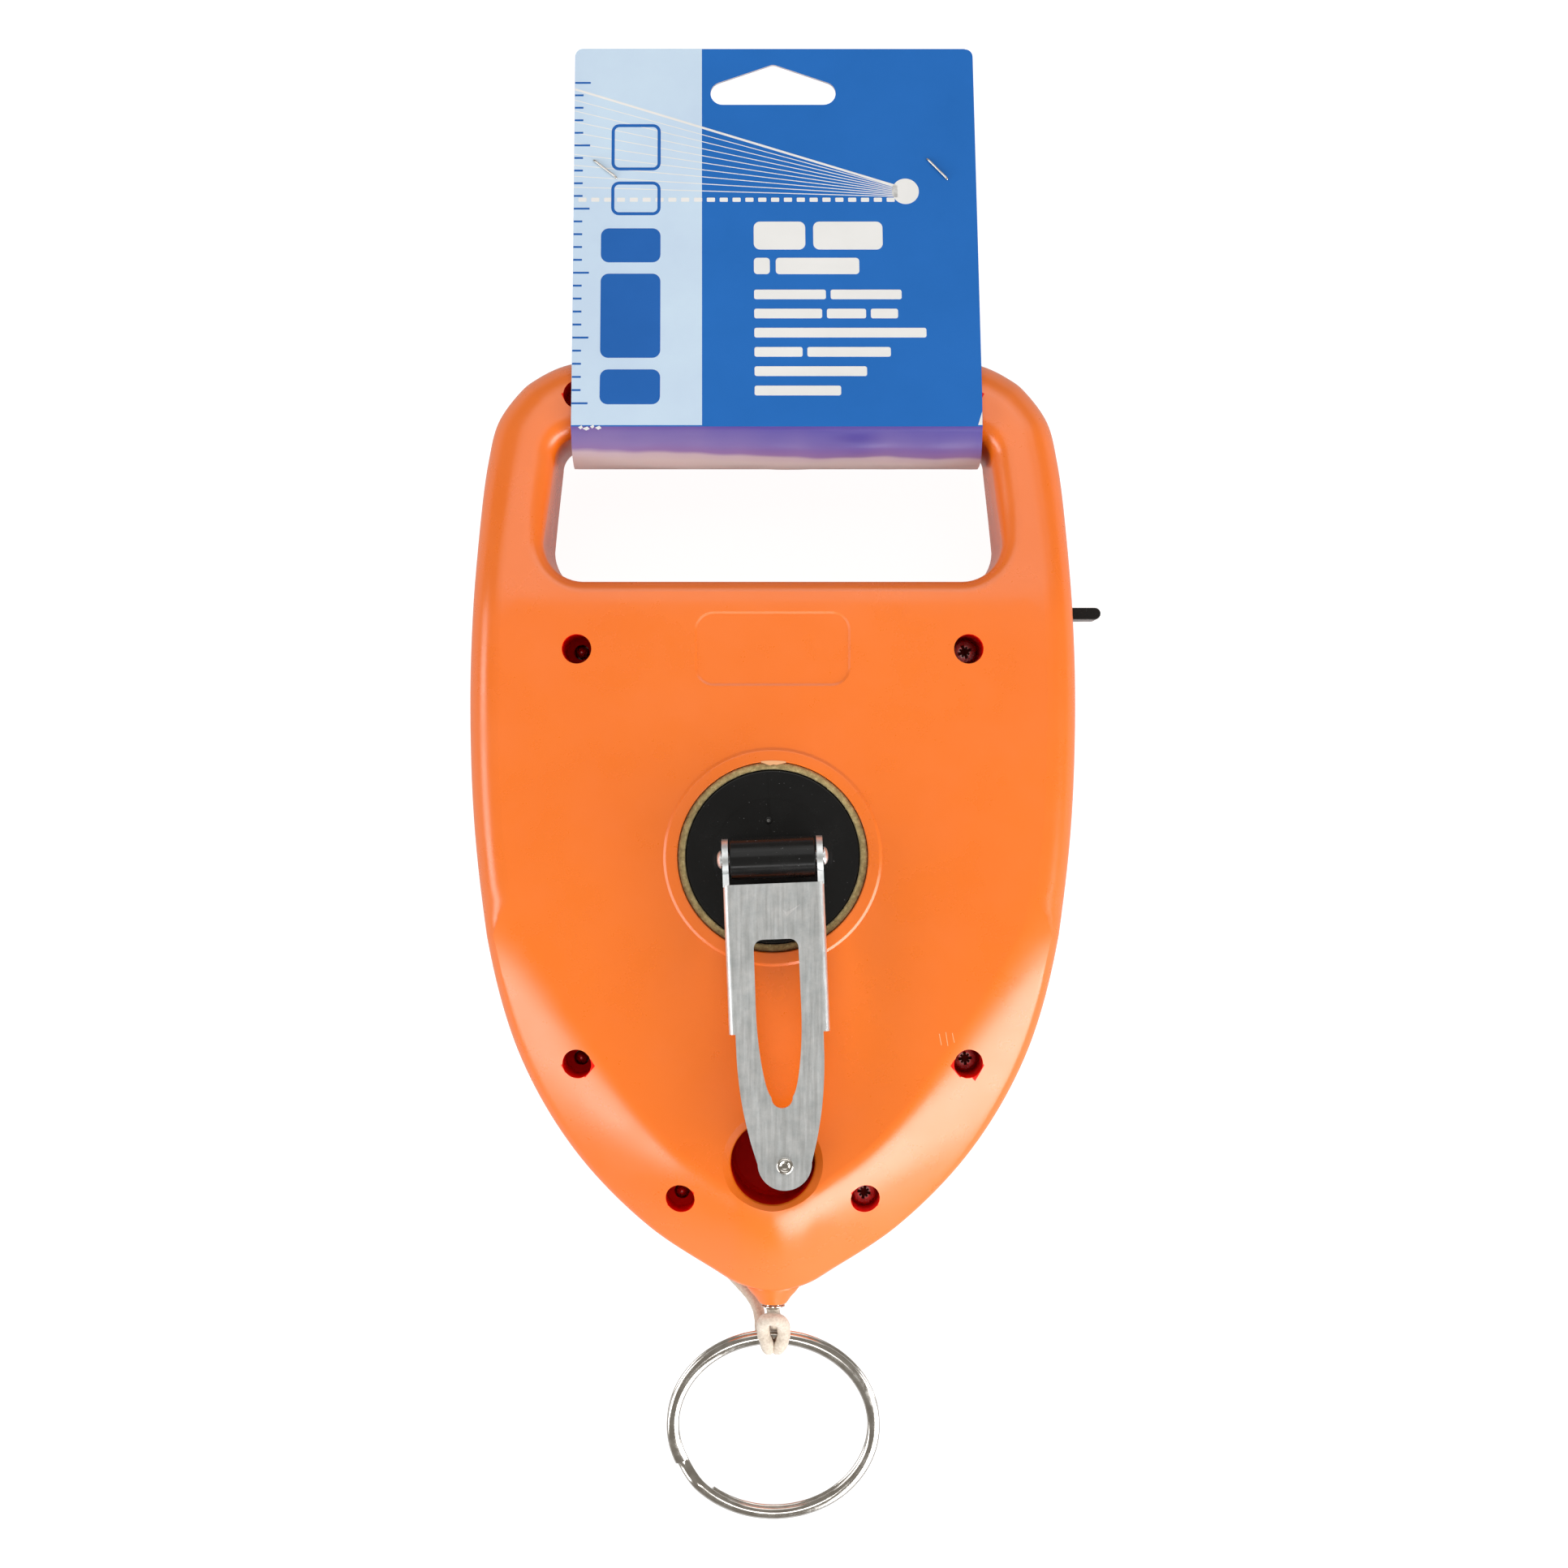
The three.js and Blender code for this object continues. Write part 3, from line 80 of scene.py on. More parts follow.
# Case
case_half_width = 75
handle_reach = 126
bow_reach = 111.3
face_height = 26.5
wall = 2.6
draft = 1
edge_radius = 7.5
handle_edge_radius = 9
nose_edge_radius = 3
slope_start = 63.6
handle_fall = 9
slope_round = 1.3
nose_height = 7
outline_shares = [
    *((-1, 0), (-0.982, 0.114), (-0.947, 0.204), (-0.849, 0.422), (-0.687, 0.656)),
    *((-0.503, 0.823), (-0.314, 0.921), (0.008, 0.996), (0.325, 1.017), (0.635, 0.991)),
    *((0.784, 0.964), (0.865, 0.931), (0.929, 0.856), (0.952, 0.811), (0.987, 0.687)),
    *((0.998, 0.373), (1, 0)),
]
bevel_start = math.radians(10)
bevel_ease = 0.9
bevel_round = 1.35
crease_share = 0.19
crease_turn_share = 0.6
least_crease_share = 0.03
parting_groove = 0.22
hub_bore = 23.5
boss_radius = 27
boss_rise = 0.5
collar_depth = 4
post_radius = 5.6
cradle_wall = 2.2
rail_start = 8
rail_edge = 58.2
rail_height = 11

# Finger opening
opening_floor = 68.1
opening_top = 104.3
opening_floor_half = 56.9
opening_top_half = 54.4
opening_floor_radius = 10
opening_top_radius = 5.5
lip_floor_radius = 3
lip_side_radius = 5.6

# Pocket, label and screw wells
pocket_place = 75.5
pocket_radius = 10.4
pocket_flare = 2
pocket_flare_depth = 0.8
pocket_floor = 5
pocket_wall = 2
label_half_width = 18.6
label_half_height = 8.6
label_radius = 4
label_depth = 0.3
label_slant = 0.6
label_place = 51.4
well_radius = 3.65
head_seat = 5
hole_radius = 1.9
screw_places = [(48.5, 115), (48.37, 51.33), (48.46, -51.24), (23, -85)]

# Gate, port and nozzle
gate_place = 61.1
gate_half_thickness = 1.5
gate_slot_half = 1.8
gate_start = 11.7
gate_slot_height = 8.3
gate_ends = (12, 72)
gate_half_height = 8
tab_half = 6
gate_reach = 82.9
port_ends = (14, 40)
port_half = 6.5
port_edge = 55.2
nozzle_profile = [
    *((0, 104), (7.4, 104), (7.2, 107.6), (6.6, 110.1), (5.6, 111.4)),
    *((4.7, 112.3), (3.5, 114), (3.1, 114.3), (0, 114.3)),
]
nozzle_bore = 2.8
nozzle_face = 114.6
wiper_space = (-9.3, 9.3, -103.3, -96.7, 6.8)

# Hubs, hinge and crank
disc_radius = 21.3
disc_top = 26.3
seal_inner = 21.6
seal_outer = 23.35
seal_top = 26.2
pin_height = 33.5
barrel_radius = 5.1
barrel_half = 10.5
sheet = 1.5
arm_rise = 5.5
arm_half = barrel_half + 0.3 + sheet
web_start = 6.15
flange_end = 42.5
arm_tip = 80.8
arm_tip_half = 6.6
rivet_place = 74.8
knob_length = 26
knob_radius = 6.25
pin_radius = 1.5
pin_hole = 1.8
spigot_half = 6.2
slot_start = 19.7
slot_end = 60.8
slot_half = 5.45
slot_radius = 2.2
slot_end_half = 2.6

# Line, winding, wiper and ring
line_radius = 1.5
knotted_radius = 1.7
winding_radius = 57.3
winding_inner = 12.3
winding_half = 17.7
wiper_half = 9
wiper_front = 103
wiper_back = 97
wiper_half_height = 6.5
wiper_hole = 1.8
# The line leaves the winding on a tangent, bends and goes straight out through the nozzle
run_route = [
    *((45.96, -37.16, 0), (36.77, -48.53, 0), (27.58, -59.9, 0), (18.38, -71.26, 0)),
    *((9.19, -82.63, 0), (1.89, -91.67, 0), (1.06, -92.88, 0), (0.47, -94.17, 0)),
    *((0.12, -95.54, 0), (0, -97, 0), (0, -106, 0), (0, -115.3, 0)),
]
ring_radius = 27.65
ring_width = 3.2
ring_coil = 1.4
ring_gap = 0.4
ring_tilt = math.radians(20)
ring_step = math.radians(217)
ring_step_turn = math.radians(14)
# The tail, from the hitch to its end on the surface that the reel lies on
tail_route = [
    *((-3.25, -123.5, -11), (-3.3, -121.6, -11.1), (-3.5, -119.4, -11.6), (-4.1, -117.2, -12.5)),
    *((-5.3, -115.1, -13.8), (-6.9, -113.3, -15.3), (-8.5, -111.8, -16.9), (-10.1, -110.4, -18.6)),
    *((-11.7, -108.9, -20.3), (-13.2, -107.2, -22), (-14.7, -105.2, -23.5), (-16.1, -102.9, -24.6)),
    *((-17.4, -100.4, -25.2), (-18.6, -97.8, -25.4), (-19.7, -95.2, -25.4), (-20.6, -92.6, -25.4)),
]
# The hitch: its turns are x, then degrees round the ring's wire from +y over the top
hitch_reach = 3.5
hitch_squeeze = 0.84
hitch_start = [(0, -115.3, 0), (0.1, -116.6, -0.5), (0.4, -118.3, -1.9), (0.6, -119.8, -4)]
hitch_first_turn = [
    *((0.5, -25), (0.7, -70), (0.8, -115), (0.9, -160)),
    *((1.3, -205), (2.1, -245), (2.7, -280)),
]
hitch_front = [
    *((2.7, -120.9, -2.7), (2.3, -119.4, -0.7), (1.2, -118.4, 1), (-0.2, -118, 1.7)),
    *((-1.6, -118.3, 1), (-2.5, -119.4, -0.7), (-2.6, -120.9, -2.7)),
]
hitch_last_turn = [(-2.3, 78), (-1.5, 115), (-1.2, 155), (-1.4, 200), (-2.3, 245), (-3.2, 268)]

# Card
card_left = 50
card_right = 52
card_top = 206.7
card_join = 171
card_fall = 0.2994
card_half_thickness = 0.33
card_gap = 0.37
card_fold = 106.47
card_corner = 2
card_lean = 0.009
card_lean_start = 118
bar_depth = handle_reach - opening_top
# Loop of the card round the handle bar: shares of the bar's depth and of its half height
card_wrap_shares = [
    *((-0.15, 1), (-0.28, 0.58), (-0.27, 0), (-0.23, -0.58), (-0.13, -0.97)),
    *((0.04, -1.147), (0.355, -1.137), (0.72, -0.98), (1.18, -0.716)),
]
hang_half = 16
hang_low = 191.5
hang_high = 202.4
hang_end_radius = 3.1
hang_peak_radius = 2
staple_place = 173.8
staple_half = 4.1
staple_wire = 0.3
staple_centres = [(-42.6, -40), (41.65, -48)]

OVERRUN = 3
OUTLINE_STEPS = 9
EDGE_STEPS = 8
FACE_STEPS = 14
ROUND_STEPS = 96


def lerp(a, b, share):
    return a + (b - a) * share


def smoothstep(value, low, high):
    share = min(1, max(0, (value - low) / (high - low)))
    return share * share * (3 - 2 * share)


# Meshes


def mesh_object(name, corners, faces, at=at_hub):
    mesh = bpy.data.meshes.new(name)
    mesh.from_pydata([at @ Vector(corner) for corner in corners], [], faces)
    built = bmesh.new()
    built.from_mesh(mesh)
    bmesh.ops.remove_doubles(built, verts=built.verts, dist=0.001 * MM)
    bmesh.ops.dissolve_degenerate(built, edges=built.edges, dist=0.001 * MM)
    bmesh.ops.recalc_face_normals(built, faces=built.faces)
    built.to_mesh(mesh)
    built.free()
    made = bpy.data.objects.new(name, mesh)
    bpy.context.scene.collection.objects.link(made)
    return made


def ring_faces(ring_count, corner_count, closed=False):
    """Faces between rings of equally many corners, in the order in which the corners are listed."""
    faces = []
    for k in range(ring_count if closed else ring_count - 1):
        low, high = k * corner_count, ((k + 1) % ring_count) * corner_count
        for i in range(corner_count):
            j = (i + 1) % corner_count
            faces.append((low + i, low + j, high + j, high + i))
    return faces


def loft(name, rings, bottom, top, at=at_hub):
    """Joins rings of corners and closes both ends with a fan."""
    count = len(rings[0])
    corners = [corner for ring in rings for corner in ring] + [bottom, top]
    faces = ring_faces(len(rings), count)
    low, high = len(corners) - 2, len(corners) - 1
    start = (len(rings) - 1) * count
    for i in range(count):
        j = (i + 1) % count
        faces.append((low, j, i))
        faces.append((high, start + i, start + j))
    return mesh_object(name, corners, faces, at)


def revolve(name, profile, steps=ROUND_STEPS, at=at_hub):
    """A solid of revolution about z. The profile is a closed loop of (radius, height) pairs."""
    corners = []
    for i in range(steps):
        angle = 2 * math.pi * i / steps
        corners += [(r * math.cos(angle), r * math.sin(angle), h) for r, h in profile]
    return mesh_object(name, corners, ring_faces(steps, len(profile), closed=True), at)


def cylinder(name, radius, low, high, steps=ROUND_STEPS, at=at_hub):
    return revolve(name, [(0, low), (radius, low), (radius, high), (0, high)], steps, at)


def prism(name, outline, low, high, at=at_hub):
    count = len(outline)
    corners = [(x, y, z) for z in (low, high) for x, y in outline]
    faces = ring_faces(2, count) + [tuple(range(count))[::-1], tuple(range(count, 2 * count))]
    return mesh_object(name, corners, faces, at)


def block(name, x0, x1, y0, y1, z0, z1, at=at_hub):
    return prism(name, [(x0, y0), (x1, y0), (x1, y1), (x0, y1)], z0, z1, at)


def arc(x, y, radius, start, end, steps):
    """Corners of an arc, in degrees, both ends included."""
    turns = [math.radians(start + (end - start) * k / steps) for k in range(steps + 1)]
    return [(x + radius * math.cos(turn), y + radius * math.sin(turn)) for turn in turns]


def rounded_box(x0, x1, y0, y1, radius, steps=6):
    return (
        arc(x1 - radius, y0 + radius, radius, -90, 0, steps)
        + arc(x1 - radius, y1 - radius, radius, 0, 90, steps)
        + arc(x0 + radius, y1 - radius, radius, 90, 180, steps)
        + arc(x0 + radius, y0 + radius, radius, 180, 270, steps)
    )


def rounded_profile(corners, radii, steps=4):
    """Rounds the corners of a closed loop of points by the radii given."""
    made = []
    count = len(corners)
    for i, radius in enumerate(radii):
        here = Vector(corners[i])
        if radius == 0:
            made.append(tuple(here))
            continue
        back = (Vector(corners[i - 1]) - here).normalized()
        on = (Vector(corners[(i + 1) % count]) - here).normalized()
        half = back.angle(on) / 2
        start = here + back * (radius / math.tan(half))
        end = here + on * (radius / math.tan(half))
        for k in range(steps + 1):
            t = k / steps
            made.append(tuple(start * (1 - t) ** 2 + here * (2 * t * (1 - t)) + end * t * t))
    return made


def combine(piece, other, operation):
    """Joins or cuts a piece with another, which is used up."""
    modifier = piece.modifiers.new("combine", "BOOLEAN")
    modifier.operation = operation
    modifier.solver = "MANIFOLD"
    modifier.object = other
    graph = bpy.context.evaluated_depsgraph_get()
    result = bpy.data.meshes.new_from_object(piece.evaluated_get(graph))
    piece.modifiers.clear()
    piece.data = result
    bpy.data.objects.remove(other)
    return piece


def cut(piece, *others):
    for other in others:
        piece = combine(piece, other, "DIFFERENCE")
    return piece


def join(piece, other):
    return combine(piece, other, "UNION")


def clean_faces(piece):
    """Joins the flat faces that boolean cuts leave in pieces."""
    built = bmesh.new()
    built.from_mesh(piece.data)
    bmesh.ops.dissolve_limit(
        built, angle_limit=math.radians(0.5), verts=built.verts, edges=built.edges
    )
    built.to_mesh(piece.data)
    built.free()
    return piece


def smooth(piece, degrees=30):
    piece.data.polygons.foreach_set("use_smooth", [True] * len(piece.data.polygons))
    piece.data.set_sharp_from_angle(angle=math.radians(degrees))
    return piece


def soften(piece, width, segments=2, degrees=35):
    """Rounds the sharp edges of a piece."""
    bevel = piece.modifiers.new("soften", "BEVEL")
    bevel.width = width * MM
    bevel.segments = segments
    bevel.limit_method = "ANGLE"
    bevel.angle_limit = math.radians(degrees)
    even_shading(piece)
    return smooth(piece)


def even_shading(piece):
    """Keeps the shading of flat faces flat beside rounded ones."""
    weighted = piece.modifiers.new("even_shading", "WEIGHTED_NORMAL")
    weighted.keep_sharp = True


def stand_for(piece, node, *surfaces):
    """A piece takes the place of a CAD node, moves with its body and takes its slot."""
    piece.data.materials.clear()
    for surface in surfaces or (by_slot[slot_of[node]],):
        piece.data.materials.append(surface)
    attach(piece, body_of[node])
    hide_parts(node)
    return piece


def add_to(piece, body, surface):
    """A piece that no CAD node stands for, such as print or wear."""
    piece.data.materials.clear()
    piece.data.materials.append(surface)
    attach(piece, body)
    return piece


# Materials


def feed(tree, socket, value):
    """Links a node's output to a socket, or gives the socket a plain value."""
    if isinstance(value, bpy.types.NodeSocket):
        tree.links.new(value, socket)
    else:
        socket.default_value = value


def linear(red, green, blue):
    """A colour given in sRGB from 0 to 255, as the shader's linear values."""
    made = []
    for value in (red, green, blue):
        share = value / 255
        made.append(share / 12.92 if share <= 0.04045 else ((share + 0.055) / 1.055) ** 2.4)
    return (*made, 1)


def grey(value):
    return (value, value, value, 1)


def ramp(tree, value, stops):
    made = tree.nodes.new("ShaderNodeValToRGB")
    elements = made.color_ramp.elements
    while len(elements) < len(stops):
        elements.new(0.5)
    for element, (position, colour) in zip(elements, stops):
        element.position = position
        element.color = colour
    tree.links.new(value, made.inputs["Fac"])
    return made.outputs["Color"]


def multiply_add(tree, value, factor, more):
    made = tree.nodes.new("ShaderNodeMath")
    made.operation = "MULTIPLY_ADD"
    for socket, given in zip(made.inputs, (value, factor, more)):
        feed(tree, socket, given)
    return made.outputs["Value"]


class Surface:
    """A material whose colour, roughness and relief vary with noise."""

    def __init__(self, name):
        self.material = bpy.data.materials.new(name)
        self.material.use_nodes = True
        self.tree = self.material.node_tree
        self.shader = self.tree.nodes["Principled BSDF"]

    def give(self, socket, value):
        feed(self.tree, self.shader.inputs[socket], value)

    def noise(self, scale, detail=3, roughness=0.5, stretch=(1, 1, 1)):
        coordinates = self.tree.nodes.new("ShaderNodeTexCoord")
        mapping = self.tree.nodes.new("ShaderNodeMapping")
        mapping.inputs["Scale"].default_value = stretch
        self.tree.links.new(coordinates.outputs["Object"], mapping.inputs["Vector"])
        texture = self.tree.nodes.new("ShaderNodeTexNoise")
        texture.inputs["Scale"].default_value = scale
        texture.inputs["Detail"].default_value = detail
        texture.inputs["Roughness"].default_value = roughness
        self.tree.links.new(mapping.outputs["Vector"], texture.inputs["Vector"])
        return texture.outputs["Fac"]

    def colour(self, value, *stops):
        """Base colour along a value. Each stop is a position and a colour in sRGB."""
        stops = [(position, linear(*colour)) for position, colour in stops]
        self.give("Base Color", ramp(self.tree, value, stops))

    def roughness(self, value, *stops):
        """Roughness along a value. Each stop is a position and a roughness."""
        stops = [(position, grey(rough)) for position, rough in stops]
        self.give("Roughness", ramp(self.tree, value, stops))

    def relief(self, height, strength, distance):
        made = self.tree.nodes.new("ShaderNodeBump")
        made.inputs["Strength"].default_value = strength
        made.inputs["Distance"].default_value = distance * MM
        self.tree.links.new(height, made.inputs["Height"])
        self.give("Normal", made.outputs["Normal"])


def orange_plastic(name, dark, light, roughness=(0.25, 0.36), gloss=1):
    made = Surface(name)
    made.colour(made.noise(14, 4), (0.3, dark), (0.7, light))
    made.roughness(made.noise(60, 6, 0.65), (0.35, roughness[0]), (0.75, roughness[1]))
    made.relief(made.noise(2600, 2), 0.25, 0.02)
    made.give("Specular IOR Level", gloss)
    return made.material


def black_plastic():
    made = Surface("black_plastic")
    dust = ramp(made.tree, made.noise(1500, 2, 0.6), [(0.71, grey(0.009)), (0.78, grey(0.2))])
    made.give("Base Color", dust)
    haze = made.noise(90, 5, 0.6)
    made.roughness(haze, (0.35, 0.16), (0.7, 0.34))
    made.relief(haze, 0.1, 0.05)
    made.give("Specular IOR Level", 0.28)
    return made.material


def natural_plastic():
    made = Surface("natural_plastic")
    made.colour(made.noise(80), (0.3, (222, 218, 205)), (0.7, (235, 232, 222)))
    made.give("Roughness", 0.5)
    return made.material


def zinc_steel(name, dark=(214, 220, 222), light=(244, 246, 247), roughness=(0.34, 0.5)):
    made = Surface(name)
    made.colour(made.noise(260, 6, 0.7), (0.3, dark), (0.7, light))
    streaks = made.noise(1400, 4, 0.6, (1, 0.06, 1))
    made.roughness(streaks, (0.3, roughness[0]), (0.7, roughness[1]))
    made.relief(streaks, 0.15, 0.02)
    made.give("Metallic", 0.9)
    return made.material


def bright_steel():
    made = Surface("bright_steel")
    wear = made.noise(300, 5, 0.6)
    made.colour(wear, (0.35, (205, 200, 194)), (0.7, (228, 225, 220)))
    made.roughness(wear, (0.4, 0.1), (0.75, 0.2))
    made.give("Metallic", 1)
    return made.material


def fibrous(name, fibres, stops, relief, sheen):
    """Felt or cotton: fibres are the scale and roughness of the noise."""
    made = Surface(name)
    value = made.noise(fibres[0], 8, fibres[1])
    made.colour(value, *stops)
    made.relief(value, *relief)
    made.give("Roughness", 0.95)
    made.give("Sheen Weight", sheen)
    return made.material


def khaki_felt():
    stops = ((0.3, (124, 104, 64)), (0.55, (184, 162, 108)), (0.8, (226, 212, 164)))
    return fibrous("khaki_felt", (900, 0.75), stops, (0.9, 0.25), 0.3)


def white_cotton():
    stops = ((0.3, (202, 184, 164)), (0.7, (242, 230, 214)))
    return fibrous("white_cotton", (1500, 0.7), stops, (0.8, 0.15), 0.4)


def card_surface(name, colour, roughness=0.5):
    made = Surface(name)
    dark = linear(*colour)
    light = tuple(min(1, value * 1.08 + 0.003) for value in dark[:3]) + (1,)
    made.give("Base Color", ramp(made.tree, made.noise(40, 4, 0.6), [(0.3, dark), (0.7, light)]))
    made.give("Roughness", roughness)
    made.give("Specular IOR Level", 0.25)
    made.relief(made.noise(30, 2), 0.2, 0.4)
    return made.material


def card_belly():
    """Blue print by the fold, which pales to lilac grey lower down."""
    made = Surface("card_belly")
    coordinates = made.tree.nodes.new("ShaderNodeTexCoord")
    apart = made.tree.nodes.new("ShaderNodeSeparateXYZ")
    made.tree.links.new(coordinates.outputs["Object"], apart.inputs["Vector"])
    slanted = multiply_add(made.tree, apart.outputs["X"], 0.03, apart.outputs["Z"])
    height = multiply_add(made.tree, made.noise(28, stretch=(1, 0.2, 0.5)), 0.008, slanted)
    level = made.tree.nodes.new("ShaderNodeMapRange")
    level.inputs["From Min"].default_value = 0.038
    level.inputs["From Max"].default_value = 0.0535
    made.tree.links.new(height, level.inputs["Value"])
    paler = ((0, (206, 198, 196)), (0.4, (200, 190, 190)), (0.6, (186, 172, 182)))
    printed = ((0.68, (134, 110, 160)), (1, (80, 66, 150)))
    made.colour(level.outputs["Result"], *paler, *printed)
    made.give("Roughness", 0.35)
    return made.material


orange = orange_plastic("orange_plastic", (250, 116, 14), (255, 123, 22))
# Painted shade: a deep red, dull plastic for the insides of the screw wells and the knob pocket
painted_shade_orange = orange_plastic("painted_shade_orange_plastic", (250, 16, 2), (255, 26, 4), (0.45, 0.5), 0.1)
pale_orange = orange_plastic("pale_orange_plastic", (250, 178, 122), (254, 196, 140))
scratched_zinc = zinc_steel("scratched_zinc", (246, 248, 250), (252, 253, 254))
# Zinc for the screws, tinted pink: a painted reflection of the red well walls round the heads
screw_zinc_painted_reflection = zinc_steel("screw_zinc_painted_reflection", (226, 212, 218), (244, 234, 238), (0.2, 0.3))
# Painted shade: a dark red-brown for the star recesses in the screw heads
painted_shade_recess_zinc = zinc_steel("painted_shade_recess_zinc", (70, 30, 28), (96, 44, 40))
dusty = card_surface("dusty_mark", (120, 118, 114), 0.8)
deep_blue = card_surface("deep_blue_print", (14, 108, 194))
pale_blue = card_surface("pale_blue_print", (210, 230, 250))
white_print = card_surface("white_print", (246, 244, 240))
bar_blue = card_surface("bar_blue_print", (18, 100, 184))
paper = card_surface("paper_core", (214, 204, 204), 0.8)
belly = card_belly()

by_slot = {
    "orange_plastic": orange,
    "black_plastic": black_plastic(),
    "natural_plastic": natural_plastic(),
    "zinc_steel": zinc_steel("zinc_steel"),
    "bright_steel": bright_steel(),
    "khaki_felt": khaki_felt(),
    "white_cotton": white_cotton(),
    "blue_card": deep_blue,
}


# Camera


def build_camera():
    """Straight above the reel, which fills the square frame as in the photograph."""
    view_height, scale_height, pixel, half_frame = 854, 800, 0.2, 966
    data = bpy.data.cameras.new("camera")
    data.sensor_width = 36
    data.lens = data.sensor_width / 2 * scale_height / (half_frame * pixel)
    data.clip_start = 0.05
    data.clip_end = 20
    camera = bpy.data.objects.new("camera", data)
    camera.location = hub + Vector((2.8, 18, view_height)) * MM - Vector((0, 0, hub.z))
    bpy.context.scene.collection.objects.link(camera)
    bpy.context.scene.camera = camera


# Line


def hermite(p0, p1, p2, p3, t):
    """A point between p1 and p2 on a centripetal Catmull-Rom curve."""
    d0, d1, d2 = ((b - a).length ** 0.5 for a, b in ((p0, p1), (p1, p2), (p2, p3)))
    m1 = ((p1 - p0) / d0 - (p2 - p0) / (d0 + d1) + (p2 - p1) / d1) * d1
    m2 = ((p2 - p1) / d1 - (p3 - p1) / (d1 + d2) + (p3 - p2) / d2) * d1
    t2, t3 = t * t, t * t * t
    point = p1 * (2 * t3 - 3 * t2 + 1) + m1 * (t3 - 2 * t2 + t)
    return point + p2 * (3 * t2 - 2 * t3) + m2 * (t3 - t2)


def open_curve(points, steps):
    points = [Vector(point) for point in points]
    points = [2 * points[0] - points[1], *points, 2 * points[-1] - points[-2]]
    made = []
    for k in range(1, len(points) - 2):
        made += [hermite(*points[k - 1 : k + 3], i / steps) for i in range(steps)]
    made.append(points[-2])
    return made


def evenly(points, step):
    """The same path with corners a step apart."""
    made = [points[0]]
    left = step
    for a, b in zip(points, points[1:]):
        length = (b - a).length
        while left <= length:
            made.append(a.lerp(b, left / length))
            left += step
        left -= length
    if (points[-1] - made[-1]).length > step / 2:
        made.append(points[-1])
    return made


def tangent_at(path, k):
    return (path[min(k + 1, len(path) - 1)] - path[max(k - 1, 0)]).normalized()


def tube(path, sides, side, reach):
    """Rings of corners round a path. Their radius is a function of the angle and of the step."""
    turns = [2 * math.pi * i / sides for i in range(sides)]
    rings = []
    for k, point in enumerate(path):
        tangent = tangent_at(path, k)
        side = (side - tangent * side.dot(tangent)).normalized()
        up = tangent.cross(side)
        rings.append([point + (side * math.cos(t) + up * math.sin(t)) * reach(t, k) for t in turns])
    return rings


def line_piece(name, route, radius=line_radius):
    """A stretch of the line: three twisted strands of cotton."""
    step, sides, strands, lay, groove = 0.4, 24, 3, 7.5, 0.09
    path = evenly(open_curve(route, 24), step)

    def reach(angle, k):
        turn = 2 * math.pi * step * k / lay
        strand = abs(math.sin(strands / 2 * (angle - turn)))
        return radius * (1 - groove * (1 - strand) ** 2)

    rings = tube(path, sides, Vector((0, 0, 1)), reach)
    return smooth(loft(name, rings, path[0], path[-1]), 60), path


def build_line_end():
    wire = (Vector(joint_at["ring_swing"]["pos_m"]) - hub) / MM

    def round_wire(turns):
        made = []
        for x, degrees in turns:
            angle = math.radians(degrees)
            y = wire.y + hitch_squeeze * hitch_reach * math.cos(angle)
            made.append((x, y, wire.z + hitch_reach * math.sin(angle)))
        return made

    route = hitch_start + round_wire(hitch_first_turn) + hitch_front + round_wire(hitch_last_turn)
    hitch, _ = line_piece("line_hitch", route, knotted_radius)
    stand_for(hitch, "line_knot")
    tail, path = line_piece("line_end", tail_route)
    stand_for(tail, "line_tail")
    ring = build_ring()
    points = [at_hub @ point for point in path]
    tuple(points[0])
    sum((b - a).length for a, b in zip(points, points[1:]))
    [tuple(point) for point in points]


def build_inner_line():
    """The stretch of line inside the nose, the wound line, and the felt that strips the line."""
    run, _ = line_piece("line_inside", run_route)
    stand_for(run, "line_run")
    stand_for(smooth(revolve("wound_line", winding_profile(), 120), 50), "line_winding")
    stand_for(felt_block(), "felt_wiper")


def winding_profile():
    """The outermost layer of the line shows as a row of turns."""
    turns, steps = round(winding_half / line_radius), 8
    profile = [(winding_inner, -winding_half), (winding_inner, winding_half)]
    for k in range(turns * steps, -1, -1):
        share = k / steps % 1
        bulge = 2 * math.sqrt(share * (1 - share))
        height = lerp(-winding_half, winding_half, k / (turns * steps))
        profile.append((winding_radius - line_radius / 2 * (1 - bulge), height))
    return profile


def felt_block():
    """A block with an uneven surface and a hole for the line."""
    ends, height = (-wiper_front, -wiper_back), wiper_half_height
    felt = block("felt_block", -wiper_half, wiper_half, *ends, -height, height)
    at = at_hub @ along_minus_y
    felt = cut(felt, cylinder("cutter", wiper_hole, wiper_back - 3, wiper_front + 3, 24, at))
    built = bmesh.new()
    built.from_mesh(felt.data)
    bmesh.ops.triangulate(built, faces=built.faces)
    for cuts in (3, 2):
        bmesh.ops.subdivide_edges(built, edges=built.edges, cuts=cuts, use_grid_fill=True)
        bmesh.ops.triangulate(built, faces=built.faces)
    built.normal_update()
    for corner in built.verts:
        corner.co -= corner.normal * (0.15 + 0.15 * noise.noise(corner.co * 900)) * MM
    built.to_mesh(felt.data)
    built.free()
    return smooth(felt, 60)


